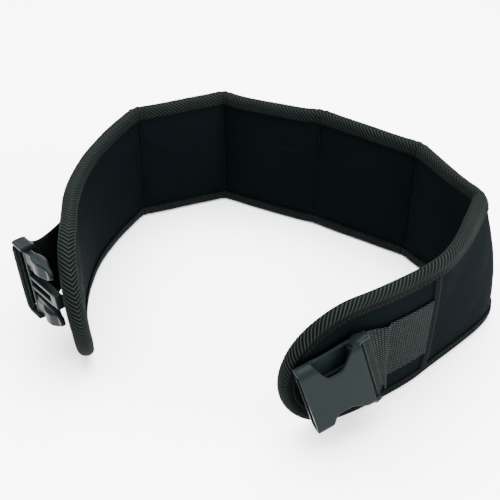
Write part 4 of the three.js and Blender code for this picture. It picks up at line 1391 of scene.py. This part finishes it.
class BELT_OT_body(bpy.types.Operator):
    """Builds the padded neoprene body with its sewn pockets"""

    bl_idname = "belt.body"
    bl_label = "Padded body"

    def execute(self, context):
        materials = finishes(context)
        crowns = crowns_now()
        body = make_piece("padded_body", [body_patch(crowns)], materials["knit_neoprene"])
        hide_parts("belt_body")
        stitches = make_piece("pocket_stitching", seam_stitches(crowns), materials["stitch_thread"])
        return {"FINISHED"}


class BELT_OT_tape(bpy.types.Operator):
    """Builds the herringbone tape folded over the whole edge, and its stitching"""

    bl_idname = "belt.tape"
    bl_label = "Edge tape"

    def execute(self, context):
        materials, sizes = finishes(context), context.scene.belt_sizes
        for part in ("upper", "lower"):
            tape = make_piece(f"edge_tape_{part}", [tape_patch(sizes, part)], materials["herringbone_tape"])
            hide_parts("edge_binding")
        lines = [tape_stitches(side) for side in (1, -1)]
        stitches = make_piece("tape_stitching", lines, materials["stitch_thread"])
        return {"FINISHED"}


class BELT_OT_hems(bpy.types.Operator):
    """Builds the two stitched hems that the straps come out of"""

    bl_idname = "belt.hems"
    bl_label = "Hems"

    def execute(self, context):
        materials = finishes(context)
        for side, slant in (("right", HEM_SLANT_RIGHT), ("left", 0.0)):
            strip, stitches = hem_patch(HEM_S[side], slant)
            hem = make_piece(f"hem_{side}", [strip], materials["folded_hem"])
            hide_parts(f"hem_strip_{side}")
            thread = make_piece(f"hem_{side}_stitching", [stitches], materials["stitch_thread"])
        return {"FINISHED"}


class BELT_OT_straps(bpy.types.Operator):
    """Builds the two woven straps"""

    bl_idname = "belt.straps"
    bl_label = "Webbing straps"

    def execute(self, context):
        materials, sizes = finishes(context), context.scene.belt_sizes
        for side in ("right", "left"):
            strap = make_piece(f"webbing_{side}", [strap_patch(sizes, side)], materials["woven_webbing"])
            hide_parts(f"strap_{side}")
        return {"FINISHED"}


class BELT_OT_buckle(bpy.types.Operator):
    """Builds the socket and plug halves of the side-release buckle"""

    bl_idname = "belt.buckle"
    bl_label = "Buckle halves"

    def execute(self, context):
        materials = finishes(context)
        for name, patches in (("socket", socket_patches()), ("plug", plug_patches())):
            half = make_piece(f"{name}_half", patches, materials["satin_plastic"], weld=1e-7)
            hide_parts(f"buckle_{name}")
        return {"FINISHED"}


# Lamps: name, place and target in metres, width in metres and power in watts
LAMPS = (
    ("top_softbox", (0.0, 0.1, 1.5), (0, 0, 0), 1.7, 185),
    ("right_softbox", (1.35, -0.75, 0.75), (0.05, 0, 0.03), 1.1, 105),
    ("left_softbox", (-1.1, 0.8, 1.1), (-0.05, 0, 0.03), 1.0, 30),
    ("back_softbox", (0.1, 1.3, 0.9), (0, 0, 0.03), 1.2, 20),
)
AIR_BRIGHTNESS = 2.0
FLOOR_REACH = 4.0


class BELT_OT_stage(bpy.types.Operator):
    """Builds the camera, the soft studio light and the pale floor"""

    bl_idname = "belt.stage"
    bl_label = "Camera, light and floor"

    def execute(self, context):
        materials = finishes(context)
        scene = context.scene
        data = bpy.data.cameras.new("photo_camera")
        data.sensor_width = 36
        data.lens = 36 * VIEW["focal"]
        data.clip_start = 0.01
        camera = bpy.data.objects.new("photo_camera", data)
        camera.location = [(VIEW[axis] + SHIFT[i]) * MM for i, axis in enumerate("xyz")]
        camera.rotation_euler = (math.radians(90 - VIEW["pitch"]), 0, 0)
        scene.collection.objects.link(camera)
        scene.camera = camera
        for name, place, target, size, power in LAMPS:
            light = bpy.data.lights.new(name, "AREA")
            light.shape = "SQUARE"
            light.size = size
            light.energy = power
            lamp = bpy.data.objects.new(name, light)
            lamp.location = place
            away = np.array(place) - np.array(target)
            tilt = math.atan2(math.hypot(away[0], away[1]), away[2])
            lamp.rotation_euler = (tilt, 0, math.atan2(away[0], -away[1]))
            scene.collection.objects.link(lamp)
        world = bpy.data.worlds.new("studio_air")
        world.use_nodes = True
        air = world.node_tree.nodes["Background"]
        air.inputs["Color"].default_value = (0.96, 0.98, 1.0, 1)
        air.inputs["Strength"].default_value = AIR_BRIGHTNESS
        scene.world = world
        corners = [(x * FLOOR_REACH, y * FLOOR_REACH, 0) for x, y in ((-1, -1), (1, -1), (1, 1), (-1, 1))]
        mesh = bpy.data.meshes.new("floor")
        mesh.from_pydata(corners, [], [(0, 1, 2, 3)])
        mesh.materials.append(materials["pale_floor"])
        floor = bpy.data.objects.new("floor", mesh)
        scene.collection.objects.link(floor)
        return {"FINISHED"}


class BELT_PT_panel(bpy.types.Panel):
    """Lists the belt's pieces and settings in the 3D view's sidebar"""

    bl_label = "Weighted belt"
    bl_idname = "BELT_PT_panel"
    bl_space_type = "VIEW_3D"
    bl_region_type = "UI"
    bl_category = "Belt"

    def draw(self, context):
        for group in (context.scene.belt_sizes, context.scene.belt_finish):
            for name in group.bl_rna.properties.keys():
                if name not in ("rna_type", "name"):
                    self.layout.prop(group, name)
        for operator in OPERATORS:
            self.layout.operator(operator.bl_idname)


OPERATORS = (BELT_OT_stage, BELT_OT_body, BELT_OT_tape, BELT_OT_hems, BELT_OT_straps, BELT_OT_buckle)
CLASSES = (BeltSizes, BeltFinish, *OPERATORS, BELT_PT_panel)


def register():
    """Registers the classes and hangs both groups of settings on the scene."""
    for cls in CLASSES:
        bpy.utils.register_class(cls)
    bpy.types.Scene.belt_sizes = PointerProperty(type=BeltSizes)
    bpy.types.Scene.belt_finish = PointerProperty(type=BeltFinish)


def unregister():
    """Takes the settings and classes away again."""
    del bpy.types.Scene.belt_finish
    del bpy.types.Scene.belt_sizes
    for cls in reversed(CLASSES):
        bpy.utils.unregister_class(cls)


def main():
    """Registers the add-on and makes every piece."""
    register()
    for operator in OPERATORS:
        module, name = operator.bl_idname.split(".")
        getattr(getattr(bpy.ops, module), name)()


if __name__ == "__main__":
    main()
